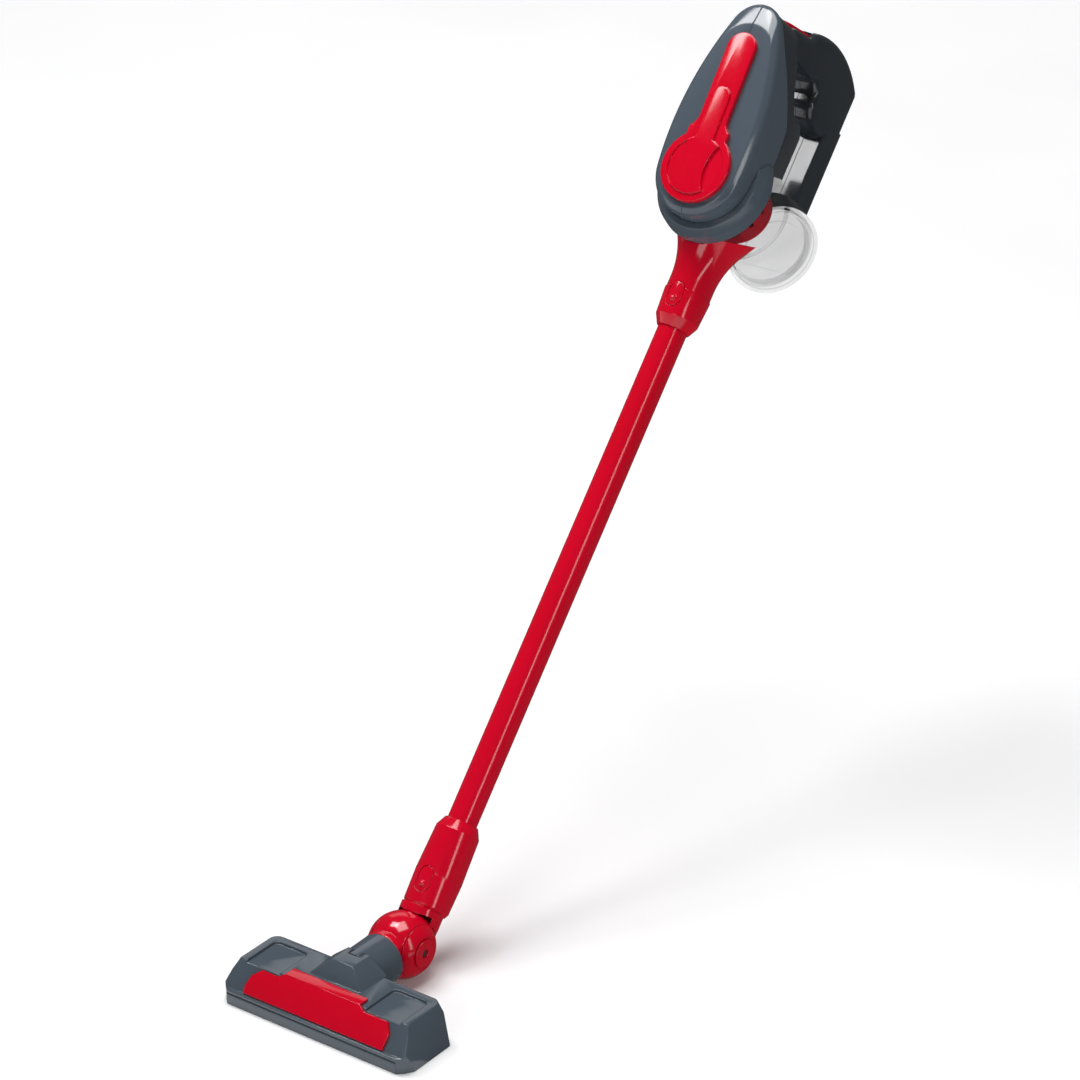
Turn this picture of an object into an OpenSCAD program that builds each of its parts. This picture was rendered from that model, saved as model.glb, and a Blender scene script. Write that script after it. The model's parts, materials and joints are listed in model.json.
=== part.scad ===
// Toy cordless stick vacuum: floor head, ball joint, wand, hand unit with clear bin and loop handle.
// Millimetres. The head stands on z = 0, +Z up, the wand leans back toward +Y.

/* [Stance] */
// Lean of the wand behind the upright, degrees
lean = 41.25; // [20:0.25:60]
// Ball centre behind the middle of the head
ball_y = 73.3; // [68:0.1:90]
// Ball centre above the floor
ball_z = 23.8; // [23.8:0.1:28]
// Wand axis behind the ball centre
axis_back = 9.6; // [7:0.1:12]

/* [Floor head] */
// Head width over the end cheeks
head_w = 160; // [154:1:200]
// Head depth
head_d = 50; // [46:1:56]
// Height of the flat top
head_h = 29.6; // [27:0.1:34]
// Height of the front strip
strip_h = 9.2; // [7:0.1:11]
// Thickness of the front strip
strip_t = 3; // [2.4:0.1:4]
// Length of the front strip
strip_w = 144; // [130:1:146]
// Depth from the front to the top edge of the sloped face
slope_run = 14.7; // [12:0.1:18]
// Wall of the head shell
head_wall = 2.2; // [1.6:0.1:2.6]
// Half width of the hump at the flat top
hump_base = 21.4; // [20:0.1:24]
// Half width of the hump crown
hump_crown = 8.9; // [7:0.1:12]
// Height of the hump crown
hump_h = 41; // [40:0.1:43]
// Radius of the grey neck
neck_r = 17.5; // [16.5:0.1:18]
// Gap between neck end and ball centre
neck_gap = 20.9; // [20:0.1:22]
// Depth of the top pockets
pocket_t = 1.5; // [0.8:0.1:1.8]
// Thickness of the red head plate
trim_t = 2.4; // [1.8:0.1:3]
// Half width of the red head plate along its lower edge
trim_w = 59; // [52:0.5:60]
// Half width of the tab of the red head plate on the flat top
tab_w = 32; // [28:0.5:36]
// Depth of that tab
tab_d = 8; // [5:0.5:9]
// Sole plate thickness
sole_t = 3.2; // [2.8:0.1:3.6]
// Length of the suction mouth
mouth_l = 104; // [80:1:116]
// Width of the suction mouth
mouth_w = 13; // [9:0.5:15]

/* [Ball joint] */
// Ball diameter
ball_d = 47; // [46:0.2:47.4]
// Half width of the ball core between the fork arms
core_w = 13.6; // [12:0.1:13.8]
// Flat cut on each fork cap, from the middle
cap_flat = 20.2; // [19:0.1:21]
// Radius of the web from the socket down into the ball
web_r = 15.4; // [14.8:0.1:16]
// Web axis behind the ball centre
web_y = 7; // [5:0.1:9]
// Pivot radius
pivot_r = 5; // [4:0.1:5.6]
// Swivel spigot radius
swivel_r = 13; // [11:0.1:13.4]
// Swivel spigot length
swivel_l = 20; // [16:0.5:22]

/* [Wand] */
// Tube outer diameter
tube_d = 21.4; // [20:0.1:22.4]
// Tube wall
tube_wall = 1.4; // [1:0.1:2]
// Coupling outer diameter
sleeve_d = 32.8; // [32.4:0.1:34]
// Length from the lower to the upper coupling seam
wand_l = 442; // [380:1:520]
// Lower seam above the ball, along the wand
foot_seam = 52; // [50:0.5:56]
// Lower sleeve above its seam
foot_sleeve = 33.6; // [30:0.1:40]
// Upper sleeve below its seam
hand_sleeve = 20; // [19.5:0.1:26]
// Cone at the sleeve end
cone_h = 6.8; // [5:0.1:9]
// Coupling spigot radius
spigot_r = 13.4; // [13:0.1:13.6]
// Coupling spigot length
spigot_l = 13; // [11:0.5:14]
// Air bore through the couplings
bore_r = 9.6; // [8:0.1:10]

/* [Release buttons] */
// Button length
pill_l = 18; // [16:0.2:19]
// Button width
pill_w = 11; // [9:0.1:12]
// Button centre below the seam
pill_drop = 5.4; // [5:0.1:6]
// Dome centre below the seam
dome_drop = 9; // [8:0.1:10]
// Dome radius
dome_r = 2.7; // [2:0.1:3.2]
// Button face proud of the sleeve
pill_proud = 0.35; // [0:0.05:0.6]
// Press of a release button
pill_travel = 2; // [1:0.1:2.2]

/* [Hand unit] */
// Cyclone axis above the upper seam
cyc_rise = 75.5; // [73:0.5:82]
// Front cover edge ahead of the wand axis
cover_y = 48.5; // [46:0.1:52]
// Forward lean of the front cover, degrees
cover_lean = 3.5; // [2:0.5:6]
// Radius of the round lower end of the cover
cover_r = 34.5; // [33:0.1:35]
// Half width of the cover
cover_w = 35.8; // [35.2:0.1:37]
// Top of the cover above the cyclone axis
cover_top = 125.5; // [120:0.5:130]
// Radius of the long cover sides
side_r = 240; // [200:5:280]
// Rise of the raised field over the cover edge
field_rise = 5.6; // [5:0.1:8]
// Inset of the raised field
field_in = 4.5; // [3.5:0.1:6]
// Further inset of the field at the top
field_top_in = 16; // [12:0.5:20]
// Cover wall
cover_wall = 2.2; // [1.6:0.1:2.6]
// Depth of the cover sides
cover_depth = 28.5; // [26:0.5:29]
// Red plate thickness
plate_t = 4; // [3:0.1:5]
// Red disc radius
disc_r = 26.4; // [24:0.1:27]
// Red bar half width
bar_w = 9.8; // [8:0.1:11]
// Top of the red bar above the disc centre
bar_top = 100; // [92:0.5:102]
// Height of the raised knob
knob_t = 1.6; // [1:0.1:2.2]
// Knob radius
knob_r = 21.2; // [19:0.1:22]
// Waist of the knob between its two side hollows
knob_waist = 8.6; // [7:0.1:10]
// Radius of a side hollow
hollow_r = 34; // [28:0.5:40]
// Half width of the raised tongue
tongue_w = 6.3; // [5:0.1:7.5]
// Top of the tongue above the disc centre
tongue_top = 59; // [48:0.5:64]
// Outer radius of the lower collar
collar_r = 43.3; // [42:0.1:44]
// Radius of the neck flare where it meets the bin
flare_r = 28.5; // [26:0.1:30]
// Widest part of the flare mouth behind the wand axis
flare_y = 9; // [6:0.5:12]
// Flare mouth below the cyclone axis there
mouth_drop = 27; // [25:0.5:29]
// Rise of the flare mouth toward the rear, degrees
mouth_tilt = 19; // [14:1:22]
// Curve of the neck flare
flare_curve = 66; // [60:1:80]

/* [Bin] */
// Bin radius at the collar
bin_r = 38; // [37.4:0.1:38.4]
// Bin radius at the rear
bin_rear_r = 31.6; // [30:0.1:32]
// Bin shoulder behind the wand axis
bin_shoulder = 24; // [21:0.5:26]
// Rear face of the lid behind the wand axis
bin_end = 84; // [81:0.5:85]
// Lid rim radius
lid_r = 34.2; // [33:0.1:34.6]
// Droop of the bin axis, degrees
bin_droop = 2.2; // [0:0.1:2.6]
// Bin wall
bin_wall = 1.8; // [1.4:0.1:2.2]
// Filter cup radius
cup_r = 24; // [22:0.1:26]
// Fan radius
fan_r = 17; // [14:0.1:18]

/* [Loop handle] */
// Half width of the handle
grip_w = 15; // [14.6:0.1:16]
// Rear face of the leg behind the wand axis
leg_y = 84.4; // [84:0.1:86]
// Depth of the leg
leg_d = 22.4; // [21.6:0.1:23]
// Rounding of the leg edges
leg_round = 1.6; // [1:0.1:3]
// Crest of the handle above the cyclone axis
grip_top = 142; // [139:0.5:146]
// Front of the grip behind the wand axis
grip_y = 31; // [29:0.5:34]
// Crest curve of the grip
crest_r = 80; // [70:1:100]
// Crest peak behind the wand axis
crest_y = 36; // [32:0.5:40]
// Underside of the arch above the cyclone axis
arch_low = 107; // [104:0.5:109]
// Underside of the grip above the cyclone axis
grip_low = 79; // [77:0.5:82]
// Slope of the arch, degrees
arch_slope = 10; // [8:0.1:12]
// Rounding of the handle edges
grip_round = 7; // [6:0.2:7.2]
// Fillet of the inner corners of the loop
grip_fillet = 5; // [3:0.5:6]
// Press of the power button
power_travel = 1.6; // [0.8:0.1:1.8]
// Length of the power button
power_l = 46; // [38:0.5:50]
// Half width of the power button
power_w = 8.4; // [7:0.1:9]

/* [Fits] */
// Running fit, radial
run_fit = 0.06; // [0.03:0.01:0.09]
// Gap between moving pieces
move_gap = 0.35; // [0.3:0.05:0.5]
// Gap round a screw thread
thread_gap = 0.05; // [0.03:0.01:0.08]
// Gap between fixed pieces
seat_gap = 0.08; // [0.05:0.01:0.12]

/* [Hidden] */
$fn = 64;
eps = 0.02;
big = 400;
ball_r = ball_d / 2;
sleeve_r = sleeve_d / 2;
tube_r = tube_d / 2;
hand_seam = foot_seam + wand_l;
cyc_h = hand_seam + cyc_rise;
front_y = -head_d / 2;
top_y = front_y + slope_run;
rear_y = head_d / 2 + 3;
cheek_x = strip_w / 2;
neck_end = ball_y - neck_gap;
side_c = side_r - cover_w;
side_z = sqrt(pow(side_r - cover_r, 2) - pow(side_c, 2));
field_y = -field_rise;
collar_front = -36;
collar_bore = 30;
arc_lap = 0.05;
collar_tip = 23;
web_z = 14;
collar_rear = -cover_y + cover_depth;
bin_front = collar_rear + 0.4;
lid_y = bin_end - 7;
leg_back = leg_y - 1;
leg_front = leg_back - leg_d;
leg_low = 20;
bay_z = 42;
bay_h = 50;
door_z = 61;
door_h = 52;
door_screw_z = 38.5;
cell_y = leg_front + 10.6;
arch_y = -4;
arch_z = grip_top - 13;
arch_l = 25;
loop_r = grip_round + 1.2;
brow_l = 4.5;
step_r = 3;
crest_in = 111;
crest_out = 57;
loop_chord = 6;
loop_turn = 9;
loop_rings = 9;
wire_r = 0.3;
spring_y = -bore_r - 0.95;
spring_l = pill_travel + 3;
spring_bar = 8;
power_base = 3.6;
power_stop = 0.8;
switch_top = 11.6;
screw_r = 1.3;
screw_head_r = 2.6;
screw_head_t = 1.8;
screw_tip = 7;
sole_screw_l = 10;
screw_seat = -7;
boss_r = 3.4;
slate = [0.28, 0.33, 0.37];
red = [0.78, 0.02, 0.13];
black = [0.12, 0.14, 0.16];
clear = [0.86, 0.88, 0.9, 0.4];
steel = [0.72, 0.73, 0.75];
brass = [0.76, 0.62, 0.3];

// Piece to draw

// Frames: ball and fork, wand axis, cyclone axis, front cover plane, bin axis, arch crest
module in_fork() {
  translate([0, ball_y, ball_z]) rotate([-lean, 0, 0]) children();
}

module in_wand() {
  in_fork() translate([0, axis_back, 0]) children();
}

module in_hand() {
  in_wand() translate([0, 0, cyc_h]) children();
}

module in_front() {
  in_hand() translate([0, -cover_y, 0]) rotate([cover_lean, 0, 0]) children();
}

module in_bin() {
  in_hand() rotate([-bin_droop, 0, 0]) children();
}

module in_arch() {
  in_hand() translate([0, arch_y, arch_z]) rotate([arch_slope, 0, 0]) children();
}

// Solids of revolution and prisms along the three axes
module rod_x(r, a, b) {
  translate([a, 0, 0]) rotate([0, 90, 0]) cylinder(r = r, h = b - a);
}

module rod_y(r, a, b) {
  translate([0, a, 0]) rotate([-90, 0, 0]) cylinder(r = r, h = b - a);
}

module turned_y() {
  rotate([-90, 0, 0]) rotate_extrude() children();
}

module prism_x(a, b) {
  translate([a, 0, 0]) rotate([90, 0, 90]) linear_extrude(b - a) children();
}

module prism_y(a, b) {
  translate([0, b, 0]) rotate([90, 0, 0]) linear_extrude(b - a) children();
}

module both_sides() {
  children();
  mirror([1, 0, 0]) children();
}

module round_rect(w, h, r) {
  square([w - 2 * r, h], center = true);
  square([w, h - 2 * r], center = true);
  for (i = [-1, 1], j = [-1, 1]) translate([i * (w / 2 - r), j * (h / 2 - r)]) circle(r = r);
}

module pill(l, w) {
  square([w, l - w], center = true);
  for (j = [-1, 1]) translate([0, j * (l - w) / 2]) circle(d = w);
}

module screw(l) {
  difference() {
    union() {
      cylinder(r = screw_r, h = l);
      translate([0, 0, l - eps]) cylinder(r = screw_head_r, h = screw_head_t);
    }
    translate([0, 0, l + screw_head_t - 0.9]) {
      translate([-1.8, -0.3, 0]) cube([3.6, 0.6, 2]);
      translate([-0.3, -1.8, 0]) cube([0.6, 3.6, 2]);
    }
  }
}

// Round wire coil: n turns of radius r, height h
module coil(r, wire, h, n) {
  per = 12;
  ring = 5;
  steps = per * n;
  pts = [for (i = [0:steps]) let (a = 360 * i / per, z = h * i / steps)
    for (k = [0:ring - 1]) let (b = 360 * k / ring)
      [(r + wire * cos(b)) * cos(a), (r + wire * cos(b)) * sin(a), z + wire * sin(b)]];
  walls = [for (i = [0:steps - 1], k = [0:ring - 1])
    [i * ring + k, (i + 1) * ring + k, (i + 1) * ring + (k + 1) % ring, i * ring + (k + 1) % ring]];
  start_cap = [[for (k = [0:ring - 1]) k]];
  end_cap = [[for (k = [ring - 1:-1:0]) steps * ring + k]];
  polyhedron(pts, concat(start_cap, walls, end_cap));
}

// Screw that joins two halves from the left
module side_screw() {
  translate([screw_tip, 0, 0]) rotate([0, -90, 0]) screw(screw_tip - screw_seat + seat_gap);
}

// Floor head
module head_side(i) {
  polygon([[front_y + i, -1], [front_y + i, strip_h + 2 - i], [front_y + strip_t + i, strip_h + 2.4 - i],
    [top_y + i, head_h - i], [rear_y - 2 - i, head_h - i], [rear_y - i, head_h - 4], [rear_y - 2 - i, -1]]);
}

module head_front(i) {
  w = head_w / 2 - i;
  polygon([[-w, -1], [w, -1], [w, 2], [w - 5.4, head_h - 8], [w - 9.4, head_h + 1 - i],
    [-w + 9.4, head_h + 1 - i], [-w + 5.4, head_h - 8], [-w, 2]]);
}

module head_plan(i) {
  w = head_w / 2 - i;
  d = head_d / 2 - i;
  polygon([[-cheek_x, -d], [cheek_x, -d], [w - 3.6, -d + 4], [w, -d + 10], [w, d - 1], [w - 3, d + 3],
    [-w + 3, d + 3], [-w, d - 1], [-w, -d + 10], [-w + 3.6, -d + 4]]);
}

module head_form(i) {
  intersection() {
    prism_x(-head_w, head_w) head_side(i);
    prism_y(-head_d, head_d) head_front(i);
    translate([0, 0, -1]) linear_extrude(head_h + 1 - i) head_plan(i);
  }
}

module hump(i) {
  hull() {
    translate([0, 0, head_h - 6]) linear_extrude(0.1)
      polygon([[-hump_base + i, 1.9 + i], [hump_base - i, 1.9 + i], [hump_base + 1.4 - i, 29.2],
        [-hump_base - 1.4 + i, 29.2]]);
    translate([0, 0, head_h]) linear_extrude(0.1)
      polygon([[-hump_base + i, 1.9 + i], [hump_base - i, 1.9 + i], [hump_base + 1.4 - i, 29.2],
        [-hump_base - 1.4 + i, 29.2]]);
    translate([0, 0, hump_h - i - 0.1]) linear_extrude(0.1)
      polygon([[-hump_crown, 10 + i], [hump_crown, 10 + i], [hump_crown, 28], [-hump_crown, 28]]);
  }
}

module strip_seat(g) {
  translate([-strip_w / 2 - g, front_y - 1, -1]) cube([strip_w + 2 * g, strip_t + 1 + g, strip_h + 1 + g]);
}

// Sloped face frame: x across, y up the face, z out of it
module on_slope() {
  run = top_y - front_y - strip_t;
  rise = head_h - strip_h - 2.4;
  translate([0, front_y + strip_t, strip_h + 2.4]) rotate([atan2(rise, run), 0, 0]) children();
}

module trim_outline(g) {
  len = norm([top_y - front_y - strip_t, head_h - strip_h - 2.4]);
  polygon([[-trim_w - g, -g], [trim_w + g, -g], [trim_w + 1.4 + g, 12], [trim_w - 3 + g, len - 2.5 + g],
    [tab_w + 4.5, len - 2.5 + g], [tab_w + g, len + 0.6], [-tab_w - g, len + 0.6],
    [-tab_w - 4.5, len - 2.5 + g], [-trim_w + 9 - g, len - 2.5 + g], [-trim_w + 2 - g, 13],
    [-trim_w - 0.6 - g, 5]]);
}

module head_shell() {
  color(slate) difference() {
    union() {
      head_form(0);
      hump(0);
    }
    difference() {
      head_form(head_wall);
      intersection() {
        head_form(head_wall / 2);
        sole_screw_places() translate([0, 0, sole_t]) cylinder(r = boss_r, h = head_h);
      }
    }
    sole_screw_places() cylinder(r = screw_r + thread_gap, h = sole_screw_l + 2);
    intersection() {
      hump(head_wall);
      translate([-big / 2, 0, head_h - 5]) cube([big, 27, big]);
    }
    translate([-big / 2, -big / 2, -big]) cube(big);
    strip_seat(seat_gap);
    on_slope() translate([0, 0, -0.7 - seat_gap]) linear_extrude(9) trim_outline(seat_gap);
    trim_tab(seat_gap);
    translate([0, 0, ball_z]) rod_y(neck_r + seat_gap, 22, 60);
    both_sides() translate([51, 3, head_h - pocket_t]) linear_extrude(5) round_rect(28.6, 33.5, 4);
  }
}

module head_neck() {
  flange_y = 22.5;
  color(slate) difference() {
    union() {
      translate([0, 0, ball_z]) rod_y(neck_r, flange_y, neck_end);
    }
    translate([0, 0, ball_z]) rod_y(swivel_r + run_fit, flange_y + 8, neck_end + 1);
    translate([0, 0, ball_z]) rod_y(swivel_r - 2, flange_y - 1, flange_y + 9);
    translate([-big / 2, -big / 2, -big]) cube(big);
  }
}

module trim_tab(g) {
  translate([-tab_w + 0.3 - g, top_y - 1, head_h - 0.7 - g])
    cube([2 * tab_w - 0.6 + 2 * g, tab_d + 1 + g, trim_t + 9 * g]);
}

module head_trim() {
  color(red) union() {
    on_slope() translate([0, 0, -0.7]) linear_extrude(trim_t) trim_outline(0);
    trim_tab(0);
  }
}

module front_strip() {
  color(slate) intersection() {
    strip_seat(0);
    prism_x(-head_w, head_w) polygon([[front_y, 0], [front_y, strip_h - 1.6], [front_y + 1.4, strip_h],
      [front_y + strip_t, strip_h], [front_y + strip_t, 0]]);
  }
}

module sole_plate() {
  color(black) difference() {
    intersection() {
      head_form(head_wall + seat_gap);
      translate([-big / 2, -big / 2, 0]) cube([big, big, sole_t - seat_gap]);
    }
    strip_seat(seat_gap + head_wall);
    translate([-mouth_l / 2, front_y + strip_t + 4, -1]) cube([mouth_l, mouth_w, 10]);
    sole_screw_places() cylinder(r = screw_r + 0.2, h = 10, center = true);
    sole_screw_places() translate([0, 0, -1]) cylinder(r = screw_head_r + 0.2, h = screw_head_t + 1.4);
    translate([0, 0, ball_z]) rod_y(neck_r + seat_gap, 0, 60);
  }
}

module sole_screw_places() {
  both_sides() for (y = [-4, 17]) translate([head_w / 2 - 12, y, 0]) children();
}

module sole_screws() {
  color(steel) sole_screw_places() translate([0, 0, sole_screw_l]) mirror([0, 0, 1])
    screw(sole_screw_l - screw_head_t - 0.3);
}

// Swivel: spigot of the ball core held in the neck by a washer and a screw
module swivel_washer() {
  color(steel) translate([0, 0, ball_z]) difference() {
    rod_y(swivel_r + 1.2, 19.9, 22.2);
    rod_y(screw_r + 0.2, 0, 40);
  }
}

module swivel_screw() {
  color(steel) translate([0, 36, ball_z]) rotate([90, 0, 0]) screw(16.2);
}

module ball_core() {
  spigot_end = neck_end - swivel_l;
  color(red) translate([0, 0, ball_z]) difference() {
    union() {
      intersection() {
        translate([0, ball_y, 0]) rotate([0, 90, 0]) sphere(r = ball_r);
        translate([-core_w, 0, -big / 2]) cube([2 * core_w, big, big]);
      }
      intersection() {
        rod_y(neck_r, neck_end + move_gap, ball_y - 10);
        translate([-core_w, 0, -big / 2]) cube([2 * core_w, big, big]);
      }
      rod_y(swivel_r, spigot_end, ball_y - 10);
      rod_y(swivel_r - 2 - move_gap, 22.2, spigot_end + 1);
    }
    translate([0, ball_y, 0]) rod_x(pivot_r + run_fit, -big / 2, big / 2);
    rod_y(screw_r + thread_gap, 20, 37);
  }
}

module yoke() {
  floor_z = 27.6;
  arm_in = core_w + move_gap;
  color(red) difference() {
    union() {
      in_wand() translate([0, 0, floor_z]) cylinder(r1 = sleeve_r - 1.6, r2 = sleeve_r, h = 3);
      in_wand() translate([0, 0, floor_z + 3 - eps]) cylinder(r = sleeve_r, h = foot_seam - floor_z - 3);
      in_fork() difference() {
        translate([0, web_y, web_z]) cylinder(r = web_r, h = floor_z - web_z + 1);
        rotate([0, 90, 0]) cylinder(r = ball_r - 5, h = 100, center = true);
      }
      in_fork() both_sides() {
        intersection() {
          rotate([0, 90, 0]) sphere(r = ball_r);
          translate([arm_in, -big / 2, -big / 2]) cube([cap_flat - arm_in, big, big]);
        }
        rod_x(pivot_r, 8.4, core_w + 2);
      }
    }
    in_fork() rotate([0, 90, 0]) cylinder(r = ball_r + move_gap, h = 2 * arm_in, center = true);
    in_wand() translate([0, 0, foot_seam - spigot_l - 1]) cylinder(r = spigot_r + run_fit, h = big);
    in_wand() pill_notch(foot_seam);
    in_fork() both_sides() {
      rod_x(screw_r + thread_gap, 0, cap_flat + 1);
      rod_x(screw_head_r + 0.4, cap_flat - 2.6, cap_flat + 5);
    }
  }
}

module pivot_screws() {
  color(steel) in_fork() both_sides() translate([cap_flat - 2.5 - 8, 0, 0]) rotate([0, 90, 0]) screw(8);
}

// Coupling details shared by both wand ends: spigot below a seam, pill button, notch in the socket
module pill_notch(seam) {
  translate([0, 0, seam - pill_drop]) prism_y(-30, -8) union() {
    pill(pill_l + 2 * move_gap, pill_w + 2 * move_gap);
    translate([-pill_w / 2 - move_gap, 0]) square([pill_w + 2 * move_gap, pill_drop + 0.01]);
  }
}

module pill_window(seam) {
  translate([0, 0, seam - pill_drop]) prism_y(-30, -8) pill(pill_l + 2 * move_gap, pill_w + 2 * move_gap);
}

module spigot(seam) {
  difference() {
    translate([0, 0, seam - spigot_l]) cylinder(r = spigot_r, h = spigot_l + 1);
    translate([0, 0, seam - spigot_l - 1]) cylinder(r = bore_r, h = spigot_l + 3);
    pill_window(seam);
  }
  intersection() {
    translate([0, 0, seam - pill_drop - spring_bar / 2]) cylinder(r = bore_r + 0.8, h = spring_bar);
    translate([-big / 2, spring_y + spring_l + 2 * wire_r, seam - big / 2]) cube([big, 2, big]);
  }
}

module pill_button(seam) {
  face = sleeve_r + pill_proud;
  intersection() {
    translate([0, 0, seam - pill_drop]) prism_y(-30, -bore_r - 1) pill(pill_l, pill_w);
    translate([0, 0, seam - 40]) cylinder(r = face, h = 60);
  }
  translate([0, -face + 1, seam - dome_drop]) rotate([90, 0, 0]) difference() {
    sphere(r = dome_r);
    translate([-5, -5, -10]) cube([10, 10, 10 - 0.6]);
  }
}

module pill_spring(seam) {
  translate([0, spring_y + wire_r, seam - pill_drop]) rotate([-90, 0, 0]) coil(2.4, wire_r, spring_l, 4);
}

module wand_tube() {
  color(red) in_wand() difference() {
    translate([0, 0, foot_seam + 4]) cylinder(r = tube_r, h = wand_l - 4 - spigot_l - 1.4);
    cylinder(r = tube_r - tube_wall, h = hand_seam);
  }
}

module sleeve(low, high) {
  difference() {
    union() {
      translate([0, 0, low]) cylinder(r = sleeve_r, h = high - low);
      translate([0, 0, high - eps]) cylinder(r1 = sleeve_r, r2 = tube_r + 1, h = cone_h);
    }
    translate([0, 0, low + 4]) cylinder(r = tube_r + seat_gap, h = big);
    translate([0, 0, low - 1]) cylinder(r = bore_r, h = 6);
  }
}

module lower_sleeve() {
  color(red) in_wand() {
    difference() {
      sleeve(foot_seam, foot_seam + foot_sleeve);
      pill_window(foot_seam);
    }
    spigot(foot_seam);
  }
}

module foot_button() {
  color(red) in_wand() pill_button(foot_seam);
}

module foot_button_spring() {
  color(steel) in_wand() pill_spring(foot_seam);
}

module upper_sleeve() {
  low = hand_seam - hand_sleeve;
  color(red) in_wand() difference() {
    union() {
      translate([0, 0, low]) cylinder(r = sleeve_r, h = hand_sleeve);
      translate([0, 0, low - cone_h]) cylinder(r1 = tube_r + 1, r2 = sleeve_r, h = cone_h + eps);
    }
    translate([0, 0, hand_seam - spigot_l - 1]) cylinder(r = spigot_r + run_fit, h = big);
    translate([0, 0, low - cone_h - 1]) cylinder(r = tube_r + seat_gap, h = hand_sleeve + cone_h);
    pill_notch(hand_seam);
  }
}

// Hand unit: flared neck under the bin
module neck() {
  flare_z = -sqrt(pow(bin_r, 2) - pow(flare_r, 2)) + 1;
  base_z = -cyc_rise + 8;
  color(red) difference() {
    union() {
      in_hand() difference() {
        translate([0, 0, -cyc_rise]) cylinder(r = flare_r + 6, h = cyc_rise + flare_z);
        rotate_extrude() difference() {
          translate([sleeve_r, -cyc_rise - 1]) square([40, cyc_rise + 20]);
          translate([0, base_z]) square([sleeve_r + 20, 60]);
        }
        rotate_extrude() translate([sleeve_r + flare_curve, base_z]) circle(r = flare_curve, $fn = 128);
      }
      in_wand() spigot(hand_seam);
    }
    in_hand() translate([0, 0, -cyc_rise - 1]) cylinder(r = bore_r, h = 30);
    in_hand() translate([0, 0, -cyc_rise + 28]) cylinder(r1 = bore_r, r2 = 17, h = 30);
    in_bin() rod_y(bin_r + seat_gap, bin_front - 0.4, 100);
    in_hand() rod_y(collar_r + seat_gap, -80, collar_rear + 0.2);
    in_hand() translate([0, flare_y, -mouth_drop]) rotate([mouth_tilt, 0, 0])
      translate([-big / 2, -big / 2, 0]) cube(big);
    in_wand() pill_window(hand_seam);
  }
}

module neck_button() {
  color(red) in_wand() pill_button(hand_seam);
}

module neck_button_spring() {
  color(steel) in_wand() pill_spring(hand_seam);
}

// Egg outline of the front cover, shrunk by i at the sides and by t at the top
module egg(i, t) {
  rb = cover_r - i;
  k = side_r - i - (cover_top - t - side_z);
  d = (pow(side_c, 2) - k * k) / (2 * k);
  rt = cover_top - t - side_z - d;
  low = -side_z * rb / (side_r - cover_r);
  high = side_z + (side_r - i) * d / (side_r - i - rt);
  circle(r = rb + arc_lap);
  translate([0, side_z + d]) circle(r = rt + arc_lap);
  intersection() {
    translate([-side_c, side_z]) circle(r = side_r - i, $fn = 256);
    translate([side_c, side_z]) circle(r = side_r - i, $fn = 256);
    translate([-big / 2, low]) square([big, high - low]);
  }
}

module cover_form() {
  in_front() hull() {
    prism_y(-0.5, 60) egg(0, 0, $fn = 96);
    prism_y(-2.6, -2.4) egg(1.1, 2, $fn = 96);
    prism_y(field_y, field_y + 0.2) egg(field_in, field_top_in, $fn = 96);
  }
}

module cover_rear_cut(g) {
  in_hand() prism_x(-big / 2, big / 2)
    polygon([[collar_rear + g, -big], [collar_rear + g, 52], [-33 + g, 76], [-45 + g, 97], [-58 + g, 130],
      [-58 + g, big], [big, big], [big, -big]]);
}

// Space of the bin behind its front edge
module bin_seat() {
  in_bin() rod_y(bin_r + seat_gap, bin_front - seat_gap, bin_end);
}

module cover_half() {
  difference() {
    cover_form();
    cover_rear_cut(0);
    bin_seat();
    difference() {
      in_front() prism_y(-0.3, 61) egg(cover_wall, cover_wall);
      in_front() cover_boss_places() rod_x(boss_r, 0, 60);
    }
    in_front() prism_y(field_y + cover_wall, 1) egg(field_in + 1.6, field_top_in + 2);
    translate([-big, -big / 2, -big / 2]) cube([big + seat_gap / 2, big * 4, big * 4]);
  }
}

module cover_boss_places() {
  for (p = [[6, 84], [6, -22]]) translate([0, p[0], p[1]]) children();
}

module cover_right() {
  color(slate) difference() {
    cover_half();
    in_front() cover_boss_places() rod_x(screw_r + thread_gap, 0, screw_tip + 1);
  }
}

module cover_left() {
  color(slate) difference() {
    mirror([1, 0, 0]) cover_half();
    in_front() cover_boss_places() {
      rod_x(screw_r + 0.2, -60, 0);
      rod_x(screw_head_r + 0.3, -60, screw_seat);
    }
  }
}

module cover_screws() {
  color(steel) in_front() cover_boss_places() side_screw();
}

// Red plate on the cover: bar, disc, tongue and a knob with two side hollows
module front_plate() {
  color(red) in_front() difference() {
    union() {
      prism_y(field_y - plate_t, field_y - seat_gap) {
        circle(r = disc_r);
        translate([-bar_w, 0]) square([2 * bar_w, bar_top - bar_w]);
        translate([0, bar_top - bar_w]) circle(r = bar_w);
        difference() {
          translate([-bar_w - 5, 18]) square([2 * bar_w + 10, 18]);
          for (i = [-1, 1]) translate([i * (bar_w + 12), 37]) circle(r = 12);
        }
      }
      prism_y(field_y - plate_t - knob_t, field_y - plate_t + eps) {
        difference() {
          circle(r = knob_r);
          for (i = [-1, 1]) translate([i * (knob_waist + hollow_r), 0]) circle(r = hollow_r);
        }
        translate([-tongue_w, 10]) square([2 * tongue_w, tongue_top - 10 - tongue_w]);
        translate([0, tongue_top - tongue_w]) circle(r = tongue_w);
      }
    }
    for (i = [-1, 1]) prism_y(field_y - plate_t - 0.01, field_y - plate_t + 0.8) intersection() {
      circle(r = knob_r);
      translate([i * (knob_waist + hollow_r), 0]) circle(r = hollow_r);
    }
  }
}

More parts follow.
